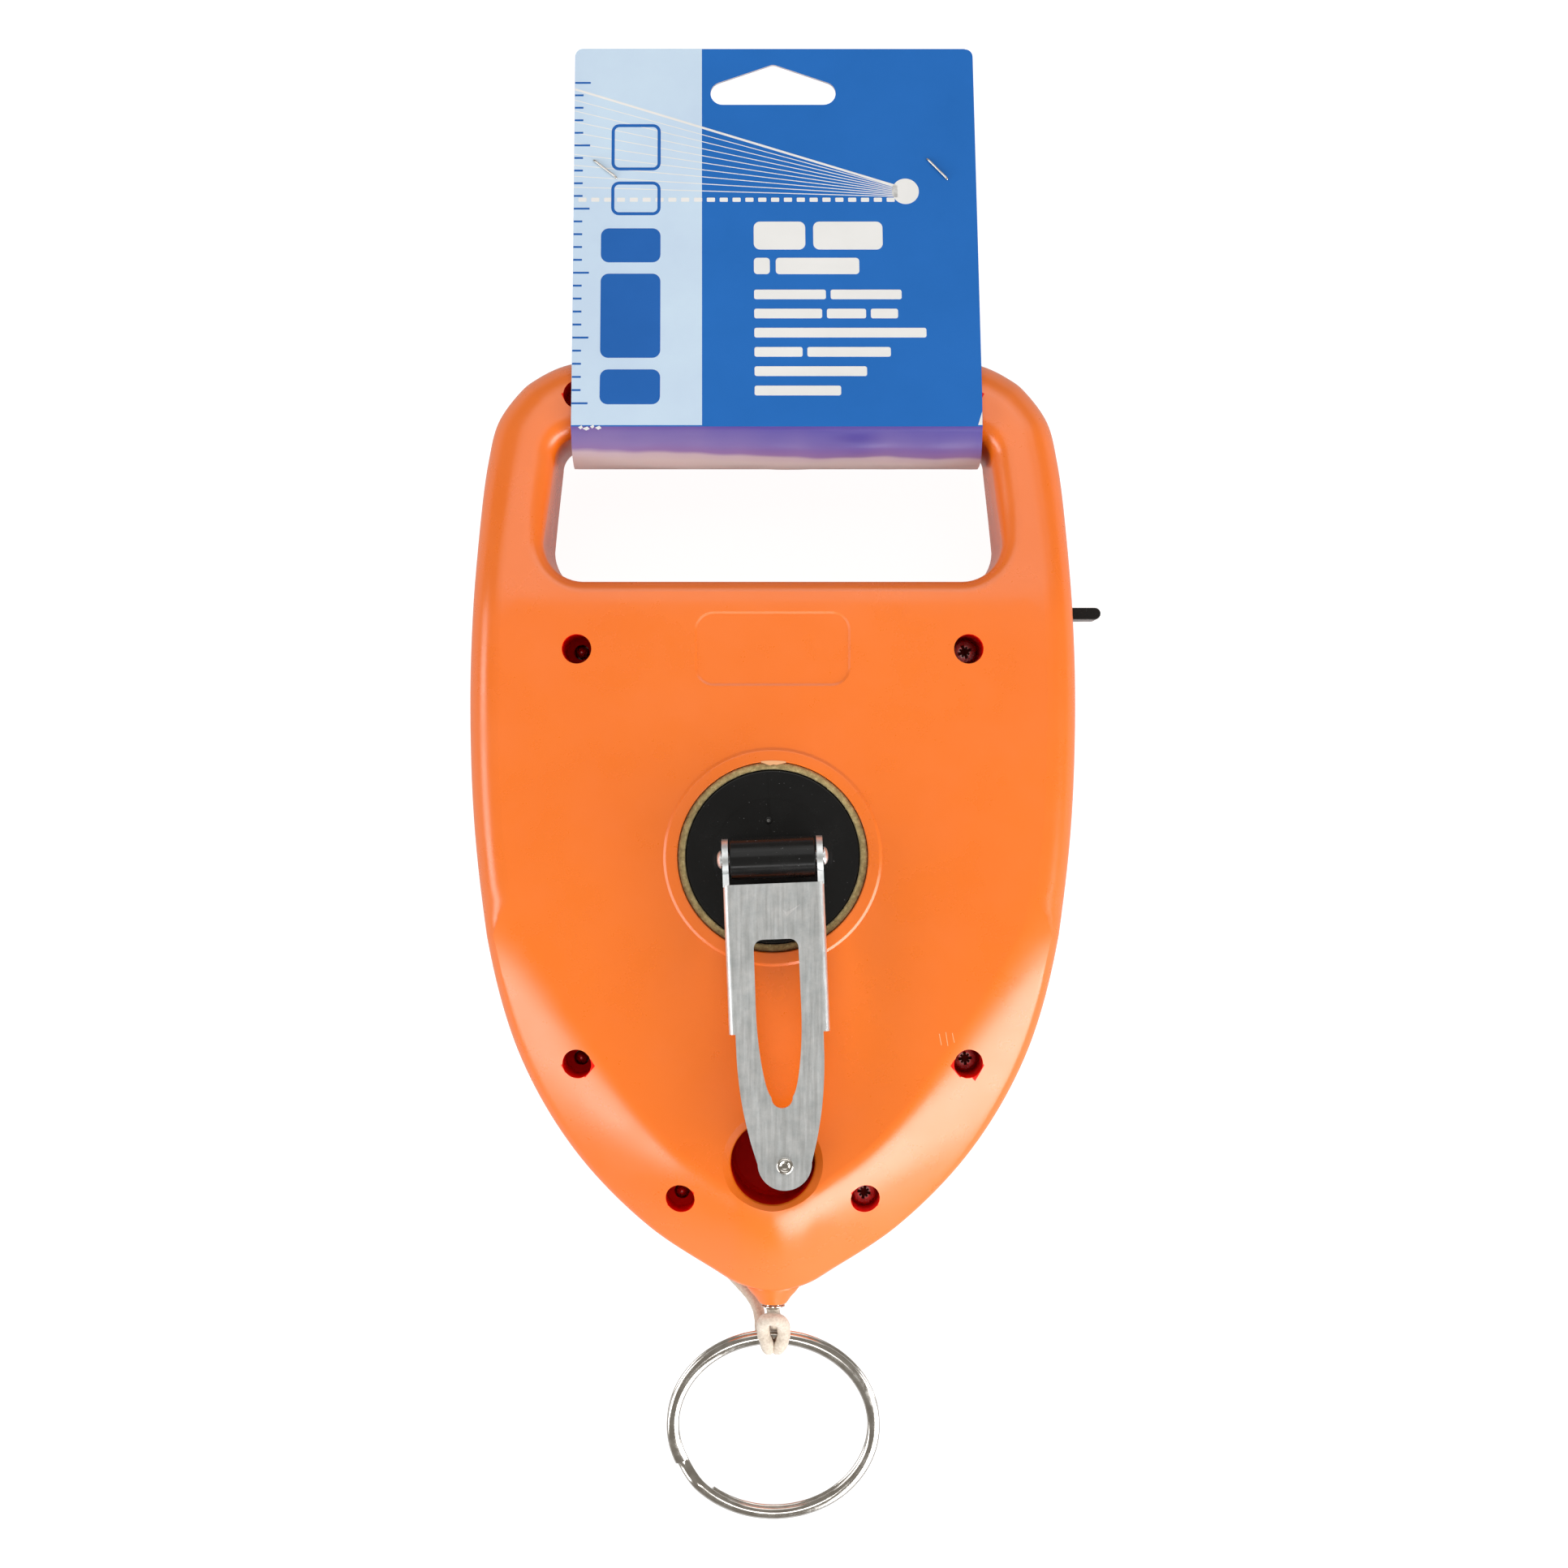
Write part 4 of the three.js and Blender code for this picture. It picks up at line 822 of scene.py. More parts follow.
def build_ring():
    """Two flat coils of one wire, which steps from one level to the other."""
    steps, sides, squareness = 480, 24, 2
    middle = ring_radius - ring_width / 2
    level = (ring_coil + ring_gap) / 2
    turns = 4 * math.pi - 2 * ring_step_turn
    section = []
    for i in range(sides):
        angle = 2 * math.pi * i / sides
        out, up = math.cos(angle), math.sin(angle)
        out = math.copysign(abs(out) ** (2 / squareness), out) * ring_width / 2
        up = math.copysign(abs(up) ** (2 / squareness), up) * ring_coil / 2
        section.append((out, up))
    rings = []
    for i in range(steps + 1):
        along = turns * i / steps
        rise = smoothstep(along, 2 * math.pi - 2 * ring_step_turn, 2 * math.pi - ring_step_turn / 2)
        angle = ring_step + ring_step_turn + along
        cosine, sine = math.cos(angle), math.sin(angle)
        z = lerp(-level, level, rise)
        reaches = [(middle + out, z + up) for out, up in section]
        rings.append([(reach * cosine, reach * sine - middle, height) for reach, height in reaches])
    ends = [sum(map(Vector, ring), Vector()) / sides for ring in (rings[0], rings[-1])]
    at = moved(Vector(joint_at["ring_swing"]["pos_m"]), Matrix.Rotation(ring_tilt, 4, "X"))
    return stand_for(smooth(loft("ring_coils", rings, *ends, at)), "split_ring")


# Case


def case_outline():
    right = []
    for along, across in outline_shares:
        reach = bow_reach if along < 0 else handle_reach
        right.append(Vector((across * case_half_width, along * reach)))
    points = right + [Vector((-p.x, p.y)) for p in right[-2:0:-1]]
    count = len(points)
    made = []
    for k in range(count):
        around = [points[(k + d) % count] for d in (-1, 0, 1, 2)]
        made += [hermite(*around, i / OUTLINE_STEPS) for i in range(OUTLINE_STEPS)]
    return made


def bevel_turn(point):
    below = math.atan2(-point.y, abs(point.x))
    return min(1, max(0, (below - bevel_start) / (math.pi / 2 - bevel_start)))


def handle_drop(y):
    """How far the face has fallen towards the handle. It starts to fall in a soft bend."""
    past = (y - slope_start) / slope_round
    eased = past if past > 30 else math.log1p(math.exp(past))
    return handle_fall * slope_round * eased / (handle_reach - slope_start)


def edge_radius_at(point):
    turn = bevel_turn(point)
    nose = lerp(edge_radius, nose_edge_radius, turn * turn)
    return lerp(nose, handle_edge_radius, smoothstep(point.y, slope_start, opening_top))


def case_column(point, inward, inset, floor):
    """Corners from the parting line up the wall, round the edge and over the face to the middle."""
    radius = max(0.3, edge_radius_at(point) - inset)
    turn = bevel_turn(point)
    drop = (face_height - nose_height) * turn**bevel_ease
    rim_point = point + inward * (inset + draft + radius)
    rim = rim_point.length
    bevel = crease_share * math.sin(math.pi / 2 * min(1, turn / crease_turn_share))
    crease = rim * (1 - max(least_crease_share, bevel))
    if rim_point.y > slope_start:
        crease = min(crease, rim * slope_start / rim_point.y)
    lean = math.atan2(bevel_round * drop, rim - crease) if drop > 0 else 0
    sweep = math.pi / 2 - lean
    edge = point + inward * (inset + draft + radius * (1 - math.cos(sweep)))
    reach = edge.length

    def height_at(x, y):
        past = max(0, math.hypot(x, y) - crease) / (reach - crease)
        return face_height - inset - drop * past**bevel_round - handle_drop(y)

    wall_top = height_at(edge.x, edge.y) - radius * math.sin(sweep)
    groove = 0 if inset else parting_groove
    column = [(*(point + inward * (inset + groove)), floor)]
    column.append((*(point + inward * inset), floor + groove + (0 if groove else OVERRUN / 2)))
    for k in range(EDGE_STEPS + 1):
        angle = sweep * k / EDGE_STEPS
        at = point + inward * (inset + draft + radius * (1 - math.cos(angle)))
        column.append((*at, wall_top + radius * math.sin(angle)))
    shares = [1 - (k + 1) / FACE_STEPS for k in range(FACE_STEPS)]
    reaches = [crease + (reach - crease) * share for share in shares]
    reaches += [crease * share for share in (0.985, 0.965, 0.93, 0.8, 0.5)]
    for distance in reaches:
        x, y = edge.x * distance / reach, edge.y * distance / reach
        column.append((x, y, height_at(x, y)))
    return column


def case_form(name, inset, floor):
    """The outer form of one half, or with an inset its hollow."""
    outline = case_outline()
    count = len(outline)
    columns = []
    for i, point in enumerate(outline):
        tangent = (outline[(i + 1) % count] - outline[i - 1]).normalized()
        columns.append(case_column(point, Vector((-tangent.y, tangent.x)), inset, floor))
    rings = [list(ring) for ring in zip(*columns)]
    return loft(name, rings, (0, 0, floor), (0, 0, face_height - inset))


def opening_outline(grow, steps=12):
    floor_radius, top_radius = opening_floor_radius + grow, opening_top_radius + grow
    low, high = opening_floor - grow, opening_top + grow
    low_x = opening_floor_half + grow - floor_radius
    high_x = opening_top_half + grow - top_radius
    return (
        arc(low_x, low + floor_radius, floor_radius, -90, 0, steps)
        + arc(high_x, high - top_radius, top_radius, 0, 90, steps)
        + arc(-high_x, high - top_radius, top_radius, 90, 180, steps)
        + arc(-low_x, low + floor_radius, floor_radius, 180, 270, steps)
    )


def opening_cutter():
    """Cutter for the finger opening, whose edge is rounded less along its floor than elsewhere."""
    pairs = list(zip(opening_outline(0), opening_outline(1)))
    rim = []
    for (a, b), (c, d) in zip(pairs, pairs[1:] + pairs[:1]):
        parts = max(1, math.ceil(math.dist(a, c) / 3))
        for k in range(parts):
            point = Vector(a).lerp(Vector(c), k / parts)
            rim.append((point, Vector(b).lerp(Vector(d), k / parts) - point))

    def ring(grow_share, height_at):
        corners = []
        for point, outward in rim:
            up = smoothstep(point.y, opening_floor, opening_floor + 2 * opening_floor_radius)
            radius = lerp(lip_floor_radius, lip_side_radius, up)
            at = point + outward * (grow_share * radius)
            corners.append((at.x, at.y, height_at(face_height - handle_drop(at.y), radius)))
        return corners

    rings = [ring(0, lambda face, radius: -OVERRUN)]
    steps = 10
    for k in range(steps + 1):
        angle = math.pi / 2 * k / steps
        share, sine = 1 - math.cos(angle), math.sin(angle)
        rings.append(ring(share, lambda face, radius, sine=sine: face - radius * (1 - sine)))
    rings.append(ring(1, lambda face, radius: face + OVERRUN))
    middle = (opening_floor + opening_top) / 2
    return loft("cutter", rings, (0, middle, -OVERRUN), (0, middle, face_height + OVERRUN))


def round_mouth(radius, mouth, flare, steps=5):
    """Profile of a hole's edge, which is rounded outward by a flare where it meets the face."""
    made = []
    for k in range(steps + 1):
        angle = math.pi / 2 * k / steps
        made.append((radius + flare * (1 - math.cos(angle)), mouth - flare * (1 - math.sin(angle))))
    return made


def pocket_cutter():
    above = face_height + OVERRUN
    rim, wide = face_height - pocket_flare_depth, pocket_radius + pocket_flare
    profile = [(0, pocket_floor), (pocket_radius - 1, pocket_floor)]
    profile += [(pocket_radius, pocket_floor + 1)]
    profile += [(pocket_radius, rim - 0.4), (pocket_radius + 0.3, rim)]
    profile += [(wide, face_height), (wide, above), (0, above)]
    return revolve("cutter", profile, at=shifted(0, -pocket_place))


def bore_cutter():
    mouth, flare = face_height + boss_rise, 0.35
    low = face_height - collar_depth - OVERRUN
    profile = [(0, low), (hub_bore, low), *round_mouth(hub_bore, mouth, flare)]
    profile += [(hub_bore + flare, mouth + OVERRUN), (0, mouth + OVERRUN)]
    return revolve("cutter", profile, 160)


def boss_form():
    top = face_height + boss_rise
    low = face_height - wall
    profile = [(0, low), (boss_radius, low), (boss_radius, face_height)]
    profile += [(boss_radius - 0.65, top - 0.05), (boss_radius - 0.95, top), (0, top)]
    return revolve("boss", profile, 160)


def label_cutter():
    rings = []
    for grow, z in ((0, -label_depth), (label_slant, 0), (label_slant, OVERRUN)):
        half_x, half_y = label_half_width + grow, label_half_height + grow
        low, high = label_place - half_y, label_place + half_y
        outline = rounded_box(-half_x, half_x, low, high, label_radius + grow, 10)
        rings.append([(x, y, face_height + z) for x, y in outline])
    bottom, top = ((0, label_place, face_height + z) for z in (-label_depth, OVERRUN))
    return loft("cutter", rings, bottom, top)


def both_sides(places):
    return [(side * x, y) for x, y in places for side in (1, -1)]


def case_hollow(gate_side):
    """The chamber: the case's form less a wall, and less what stands in it."""
    low, high = -OVERRUN - 1, face_height + OVERRUN
    standing = [
        prism("cutter", opening_outline(wall), low, high),
        cylinder("cutter", boss_radius, face_height - collar_depth, high, 64),
        cylinder(
            *("cutter", pocket_radius + pocket_wall, pocket_floor - pocket_wall, high),
            *(48, shifted(0, -pocket_place)),
        ),
    ]
    for place in both_sides(screw_places):
        standing.append(cylinder("cutter", post_radius, low, high, 24, shifted(*place)))
    x0, x1, _, y1, _ = wiper_space
    cradle = (x0 - cradle_wall, x1 + cradle_wall, -bow_reach, y1 + cradle_wall)
    rails = sorted((gate_side * rail_start, gate_side * case_half_width))
    standing.append(block("cutter", *cradle, low, high))
    standing.append(block("cutter", *rails, rail_edge, opening_floor, low, rail_height))
    return cut(case_form("hollow", wall, -OVERRUN), *standing)


def case_half(name, gate_side):
    above = face_height + OVERRUN
    half = case_form(name, 0, 0)
    half = join(half, revolve("nozzle", nozzle_profile, 64, at_hub @ along_minus_y))
    half = join(half, boss_form())
    half = cut(half, case_hollow(gate_side))
    half = cut(half, bore_cutter(), opening_cutter(), pocket_cutter(), label_cutter())
    well = [(0, -OVERRUN), (hole_radius, -OVERRUN), (hole_radius, head_seat)]
    well += [(well_radius, head_seat), (well_radius, above), (0, above)]
    for place in both_sides(screw_places):
        half = cut(half, revolve("cutter", well, 40, shifted(*place)))
    x0, x1, y0, y1, high = wiper_space
    slot = sorted((gate_side * gate_start, gate_side * (case_half_width + OVERRUN)))
    slot_ends = (gate_place - gate_slot_half, gate_place + gate_slot_half)
    port = sorted(gate_side * end for end in port_ends)
    return cut(
        half,
        cylinder("cutter", nozzle_bore, 95, 120, 32, at_hub @ along_minus_y),
        block("cutter", x0, x1, y0, y1, -OVERRUN, high),
        block("cutter", -5, 5, y1 - 1, y1 + 5, -OVERRUN, 1.9),
        block("cutter", *slot, *slot_ends, -OVERRUN, gate_slot_height),
        block("cutter", *port, port_edge, opening_floor + OVERRUN, -OVERRUN, port_half),
        block("cutter", -200, 200, -200, 200, -80, 0),
    )


def mark_painted_shade_faces(piece):
    """Gives the insides of the wells and of the knob pocket a deep red, which is painted shade."""
    to_level = at_hub.inverted()
    holes = [(x, y, well_radius + 0.05) for x, y in both_sides(screw_places)]
    holes.append((0, -pocket_place, pocket_radius + 0.05))
    for face in piece.data.polygons:
        centre = to_level @ face.center
        below = abs(centre.z) < face_height - pocket_flare_depth
        for x, y, radius in holes:
            if below and math.hypot(centre.x - x, centre.y - y) < radius:
                face.material_index = 1


def build_case():
    halves = (("front_half", "front_shell", 1), ("rear_half", "rear_shell", -1))
    for name, node, gate_side in halves:
        piece = case_half(name, gate_side)
        if node == "rear_shell":
            piece.data.transform(at_hub @ turned_back @ at_hub.inverted())
        # The second surface paints shade into the screw wells and the knob pocket
        stand_for(smooth(piece, 22), node, orange, painted_shade_orange)
        mark_painted_shade_faces(piece)
        even_shading(piece)
    build_bore_flash()
    build_scuffs()


def build_scuffs():
    """Three short light scratches on the front face, right of the crank."""
    width, slip = 0.16, 0.54
    starts = ((41, -43.6, 2.8), (42.6, -43.2, 3.4), (44.2, -43.4, 2.4))
    for number, (x, y, length) in enumerate(starts, 1):
        low = y - length
        outline = [(x, y), (x + width, y), (x + slip + width, low), (x + slip, low)]
        scuff = prism(f"scuff_{number}", outline, face_height - 0.1, face_height + 0.02)
        add_to(scuff, "case", pale_orange)


def build_bore_flash():
    """A sliver of plastic left standing at the top of the hub's bore."""
    inner_dips = [0.05, 0.35, 0.6, 0.85, 0.7, 0.95, 0.75, 0.4, 0.1]
    start, end = 82, 97
    outer, inner = [], []
    for k, dip in enumerate(inner_dips):
        angle = math.radians(lerp(start, end, k / (len(inner_dips) - 1)))
        for reach, corners in ((hub_bore + 0.3, outer), (hub_bore + 0.05 - dip, inner)):
            corners.append((reach * math.cos(angle), reach * math.sin(angle)))
    top = face_height + boss_rise
    flash = prism("bore_flash", outer + inner[::-1], top - 0.12, top + 0.1)
    add_to(soften(flash, 0.05), "case", pale_orange)


# Screws


def screw_mesh(name, at):
    """A screw with a rounded head, whose star recess is four slots."""
    low, high = -head_seat - 1.6, head_seat + 0.3
    shank, head, top = 1.6, 3.2, high + 2.2
    profile = [(0, low), (0.5, low + 0.25), (shank, low + 2.2), (shank, high)]
    profile += [(head - 0.15, high), (head, high + 0.15), (head, high + 1.1)]
    profile += [(head * 0.94, high + 1.6), (head * 0.8, high + 2), (head * 0.5, top), (0, top)]
    screw = revolve(name, profile, 32, at)
    for length, width, depth, degrees in ((3.4, 0.8, 1.4, 0), (2.8, 0.6, 1.1, 45)):
        half, side = length / 2, width / 2
        for more in (0, 90):
            turned = at @ Matrix.Rotation(math.radians(degrees + more), 4, "Z")
            slot = block("cutter", -half, half, -side, side, top - depth, top + 1, turned)
            screw = cut(screw, slot)
    return smooth(screw)


def mark_recess(screw, at):
    """Gives the star recess in a screw's head its dark red-brown surface, which is painted shade."""
    to_screw = at.inverted()
    for face in screw.data.polygons:
        centre = to_screw @ face.center
        inside = head_seat + 0.4 < centre.z < head_seat + 2.3
        if inside and math.hypot(centre.x, centre.y) < 2.4:
            face.material_index = 1


def build_screws():
    for number, (x, y) in enumerate(both_sides(screw_places), 1):
        facing = Matrix.Identity(4) if x > 0 else turned_back
        spin = Matrix.Rotation(math.radians(37 * number), 4, "Z")
        at = shifted(x, y) @ facing @ spin
        screw = screw_mesh(f"screw_{number}", at)
        # The heads' pink tint is a painted reflection; their star recesses get painted shade
        stand_for(screw, f"case_screw_{number}", screw_zinc_painted_reflection, painted_shade_recess_zinc)
        mark_recess(screw, at)


# Hubs, seals and crank


def hub_mesh(name, at):
    """A disc with a shallow dish, the flange and step that hold it in the case, and its spigot."""
    flange_radius, flange_low, flange_top = 26, 19.9, 22.2
    step_radius, step_top = 23.1, 23.3
    dish, dish_depth = 14, 0.12
    dish_floor = disc_top - dish_depth
    profile = [(0, flange_low), (flange_radius, flange_low), (flange_radius, flange_top)]
    profile += [(step_radius, flange_top), (step_radius, step_top), (disc_radius, step_top)]
    profile += [(disc_radius, disc_top - 0.3), (disc_radius - 0.1, disc_top - 0.08)]
    profile += [(disc_radius - 0.35, disc_top), (dish + 0.9, disc_top)]
    profile += [(dish + 0.45, disc_top - dish_depth * 0.2), (dish, dish_floor), (0, dish_floor)]
    disc = revolve(name, profile, 160, at)
    return join(disc, block("spigot", *(-spigot_half, spigot_half) * 2, 1, 21, at))


def build_crank_hub():
    made = hub_mesh("hub_with_hinge", at_hub_yawed)
    saddle = block("saddle", -barrel_half, barrel_half, -3.5, 3.5, 24, pin_height, at_hub_yawed)
    made = join(made, saddle)
    edge, seam, seam_ends = 0.35, 0.05, (-0.5, -0.38)
    barrel = [(0, -barrel_half), (barrel_radius - edge, -barrel_half)]
    barrel += [(barrel_radius, edge - barrel_half), (barrel_radius, barrel_half - edge)]
    barrel += [(barrel_radius - edge, barrel_half), (0, barrel_half)]
    made = join(made, revolve("barrel", barrel, 64, at_hinge @ along_x))
    made = join(made, cylinder("seam", barrel_radius + seam, *seam_ends, 64, at_hinge @ along_x))
    floor = disc_top - 0.2
    ridge_ends = (barrel_radius - 0.1, disc_radius - 0.4)
    ridge = block("seam", *seam_ends, *ridge_ends, floor, disc_top + seam, at_hub_yawed)
    made = join(made, ridge)
    gate_mark = [(0, floor), (0.95, floor), (0.85, disc_top + 0.1), (0.6, disc_top + 0.16)]
    gate_mark += [(0.4, disc_top - 0.05), (0, disc_top - 0.05)]
    at_mark = shifted(-1, 9)
    made = join(made, revolve("gate_mark", gate_mark, 24, at_mark))
    dust = cylinder("gate_dust", 0.45, disc_top - 0.1, disc_top, 16, at_mark)
    add_to(dust, "spool", dusty)
    made = cut(made, cylinder("cutter", pin_hole, -20, 20, 32, at_hinge @ along_x))
    stand_for(smooth(made, 25), "crank_hub")
    even_shading(made)


def build_hubs():
    build_crank_hub()
    rear = hub_mesh("plain_hub", at_hub_yawed @ turned_back)
    stand_for(smooth(rear, 25), "rear_hub")
    even_shading(rear)
    for node, at in (("front_hub_seal", at_hub), ("rear_hub_seal", at_hub @ turned_back)):
        build_seal(node, at)


def build_seal(node, at):
    """A felt ring with an uneven top."""
    steps, across = 240, 6
    low = seal_top - 2.6
    corners = []
    for i in range(steps):
        angle = 2 * math.pi * i / steps
        cosine, sine = math.cos(angle), math.sin(angle)
        ring = [(seal_inner, low), (seal_outer, low)]
        for k in range(across + 1):
            share = k / across
            round_off = 0.25 * abs(2 * share - 1) ** 4
            fuzz = noise.noise(Vector((cosine * 40, sine * 40, share * 2))) * 0.22
            ring.append((lerp(seal_outer, seal_inner, share), seal_top - 0.15 - round_off + fuzz))
        corners += [(r * cosine, r * sine, h) for r, h in ring]
    made = mesh_object(f"felt_{node}", corners, ring_faces(steps, across + 3, closed=True), at)
    stand_for(smooth(made, 60), node)


def arm_edge():
    """Right edge of the web from the flange's end to the tip's round end."""
    shares = [(0, 0.87), (0.263, 0.858), (0.526, 0.797), (0.789, 0.67)]
    points = [(out * arm_half, -lerp(flange_end, rivet_place, along), 0) for along, out in shares]
    points.append((arm_tip_half, arm_tip_half - arm_tip, 0))
    return [(point.x, point.y) for point in open_curve(points, 6)]


def slot_outline():
    length = slot_end - slot_start
    bend = [(slot_half, 0.1), (0.99 * slot_half, 0.55), (0.79 * slot_half, 0.8)]
    bend += [(0.61 * slot_half, 0.9), (slot_end_half, 1 - slot_end_half / length)]
    side = open_curve([(x, -slot_start - along * length, 0) for x, along in bend], 6)
    corner = slot_half - slot_radius
    made = arc(corner, -slot_start - slot_radius, slot_radius, 0, 90, 8)
    made += arc(-corner, -slot_start - slot_radius, slot_radius, 90, 180, 8)
    made += [(-point.x, point.y) for point in side]
    made += arc(0, slot_end_half - slot_end, slot_end_half, 180, 360, 16)[1:-1]
    return made + [(point.x, point.y) for point in reversed(side)]


def arm_tip_outline():
    edge, inner = arm_edge(), arm_half - sheet
    outline = [(inner - 1, 1 - flange_end), *edge]
    outline += arc(0, arm_tip_half - arm_tip, arm_tip_half, 0, -180, 24)[1:-1]
    return outline + [(-x, y) for x, y in reversed(edge)] + [(1 - inner, 1 - flange_end)]


def build_crank_arm():
    """A channel with two ears, which runs out into a flat, slotted tip."""
    bend, inner_bend, ear_radius, flange_low = 1.9, 0.5, 5, -5
    outer, inner = arm_half, arm_half - sheet
    under = arm_rise - sheet
    corners = [(-outer, flange_low), (-inner, flange_low), (-inner, under), (inner, under)]
    corners += [(inner, flange_low), (outer, flange_low), (outer, arm_rise), (-outer, arm_rise)]
    section = rounded_profile(corners, [0, 0, inner_bend, inner_bend, 0, 0, bend, bend], 8)
    arm = prism("arm_channel", section, web_start, flange_end, at_hinge @ along_minus_y)
    arm = join(arm, prism("arm_tip", arm_tip_outline(), under, arm_rise, at_hinge))
    side = at_hinge @ Matrix(((0, 0, 1, 0), (1, 0, 0, 0), (0, 1, 0, 0), (0, 0, 0, 1)))
    for low in (-outer, inner):
        ear = arc(0, 0, ear_radius, 216, 495, 40)
        ear += [(-web_start - 0.5, arm_rise - 0.6), (-web_start - 0.5, -4)]
        arm = join(arm, prism("ear", ear, low, low + sheet, side))
    root, toe = 0.02 - web_start, -flange_end - 1
    at_rivet = shifted(0, -rivet_place, at=at_hinge)
    arm = cut(
        arm,
        prism("cutter", [(root, -4), (toe, 0.6), (toe, -9), (root, -9)], -20, 20, side),
        prism("cutter", slot_outline(), 0, 2 * arm_rise, at_hinge),
        cylinder("cutter", pin_hole, -20, 20, 32, at_hinge @ along_x),
        cylinder("cutter", pin_radius, 0, 2 * arm_rise, 32, at_rivet),
    )
    stand_for(soften(clean_faces(arm), 0.22, 2, 40), "crank_arm")
    build_scratch()


def build_scratch():
    """A light scratch on the crank arm, shaped like a check mark."""
    places = [(1.9, -12.5), (2.8, -14.3), (6.4, -11.4), (2.9, -13.2)]
    mark = prism("arm_scratch", places, arm_rise - 0.05, arm_rise + 0.02, at_hinge)
    add_to(mark, "crank", scratched_zinc)


def build_pins():
    outer = arm_half + 0.3
    rises = ((0, 1), (1, 0.95), (1.7, 0.7), (2.15, 0.3), (2.2, 0))
    head = [(radius, -outer - rise) for radius, rise in rises]
    shank = [(pin_radius, -outer), (pin_radius, outer)]
    profile = head + shank + [(r, -h) for r, h in reversed(head)]
    pin = smooth(revolve("pin", profile, 40, at_hinge @ along_x))
    stand_for(pin, "hinge_pin", scratched_zinc)

    top = arm_rise + 0.3
    low = arm_rise - sheet - 0.3 - knob_length
    profile = [(0, low), (2.6, low), (2.6, low + 0.8), (1.25, low + 0.8), (1.25, top), (1.95, top)]
    profile += [(2.05, top + 0.25), (1.9, top + 0.5), (1.55, top + 0.6), (1.15, top + 0.5)]
    profile += [(0.95, top + 0.15), (0.75, top + 0.05), (0, top + 0.05)]
    at_rivet = shifted(0, -rivet_place, at=at_hinge)
    stand_for(smooth(revolve("rivet", profile, 40, at_rivet), 50), "knob_rivet")


def build_knob():
    shares = [(0, 0.74), (0.012, 0.8), (0.03, 0.87), (0.06, 0.885), (0.12, 0.9), (0.3, 0.95)]
    shares += [(0.5, 0.985), (0.7, 1), (0.9, 0.98), (0.95, 0.93), (0.985, 0.82), (1, 0.7)]
    profile = [(1.55, 0), (1.55, 1.1 - knob_length), (2.9, 1.1 - knob_length), (2.9, -knob_length)]
    profile += [(share * knob_radius, -down * knob_length) for down, share in reversed(shares)]
    at = shifted(0, -rivet_place, arm_rise - sheet - 0.3, at_hinge)
    stand_for(smooth(revolve("knob", profile, 64, at)), "crank_knob")


def build_gate():
    end = gate_reach - gate_half_thickness
    low, high = gate_place - gate_half_thickness, gate_place + gate_half_thickness
    gate = block("gate", *gate_ends, low, high, -gate_half_height, gate_half_height)
    root = gate_ends[1] - OVERRUN
    tab = [(root, low)] + arc(end, gate_place, gate_half_thickness, -90, 90, 10) + [(root, high)]
    gate = join(gate, prism("tab", tab, -tab_half, tab_half))
    stand_for(soften(clean_faces(gate), 0.25, 3), "filler_gate")


def build_eyelet():
    face = nozzle_face
    profile = [(1.9, face - 9.5), (2.5, face - 9.5), (2.5, face), (2.95, face), (3.1, face + 0.15)]
    profile += [(3.05, face + 0.35), (2.7, face + 0.5), (2.25, face + 0.45), (1.95, face + 0.2)]
    stand_for(smooth(revolve("eyelet", profile, 48, at_hub @ along_minus_y), 50), "nozzle_eyelet")


# Card


def card_height(y):
    """Height of the middle of the card's double layer, which rests on the handle's front edge."""
    edge_y = handle_reach - draft - handle_edge_radius
    edge_z = face_height - handle_fall * (edge_y - slope_start) / (handle_reach - slope_start)
    clear = (handle_edge_radius + 0.3) / math.cos(math.atan(card_fall))
    return edge_z - handle_edge_radius + clear - card_fall * (y - edge_y)


def card_line():
    """Middle of the card's thickness from its front top edge round the bar to its back one."""
    past = opening_top + bar_depth / 2 - slope_start
    bar_height = face_height - handle_fall * past / (handle_reach - slope_start)
    lift = card_gap / math.cos(math.atan(card_fall))
    front = [Vector((y, card_height(y) + lift)) for y in (card_top, card_fold)]
    back = [Vector((y, card_height(y) - lift)) for y in (card_join, card_top)]
    loop = [(0, *front[1])]
    for depth_share, height_share in card_wrap_shares:
        loop.append((0, opening_top + depth_share * bar_depth, height_share * bar_height))
    wrap = [Vector((p.y, p.z)) for p in open_curve(loop, 10)]
    panel_steps = 20
    line = [front[0].lerp(front[1], k / panel_steps) for k in range(panel_steps)]
    for k, point in enumerate(wrap):
        tangent = tangent_at(wrap, k)
        line.append(point + Vector((tangent.y, -tangent.x)) * (-card_gap if k else 0))
    return line + back, panel_steps


def leaning(x, y):
    """The card leans a little to the left above the handle."""
    return x - card_lean * max(0, y - card_lean_start)


def corner_outlines():
    """What a rounded corner leaves off at each end of the card's top edge."""
    made = []
    for side, edge in ((-1, card_left), (1, card_right)):
        corner = leaning(side * edge, card_top)
        middle, low = corner - side * card_corner, card_top - card_corner
        outline = arc(middle, low, card_corner, 90 - side * 90, 90, 8)
        beyond, above = corner + side * 2, card_top + 2
        outline += [(middle, above), (beyond, above), (beyond, low)]
        made.append(outline)
    return made


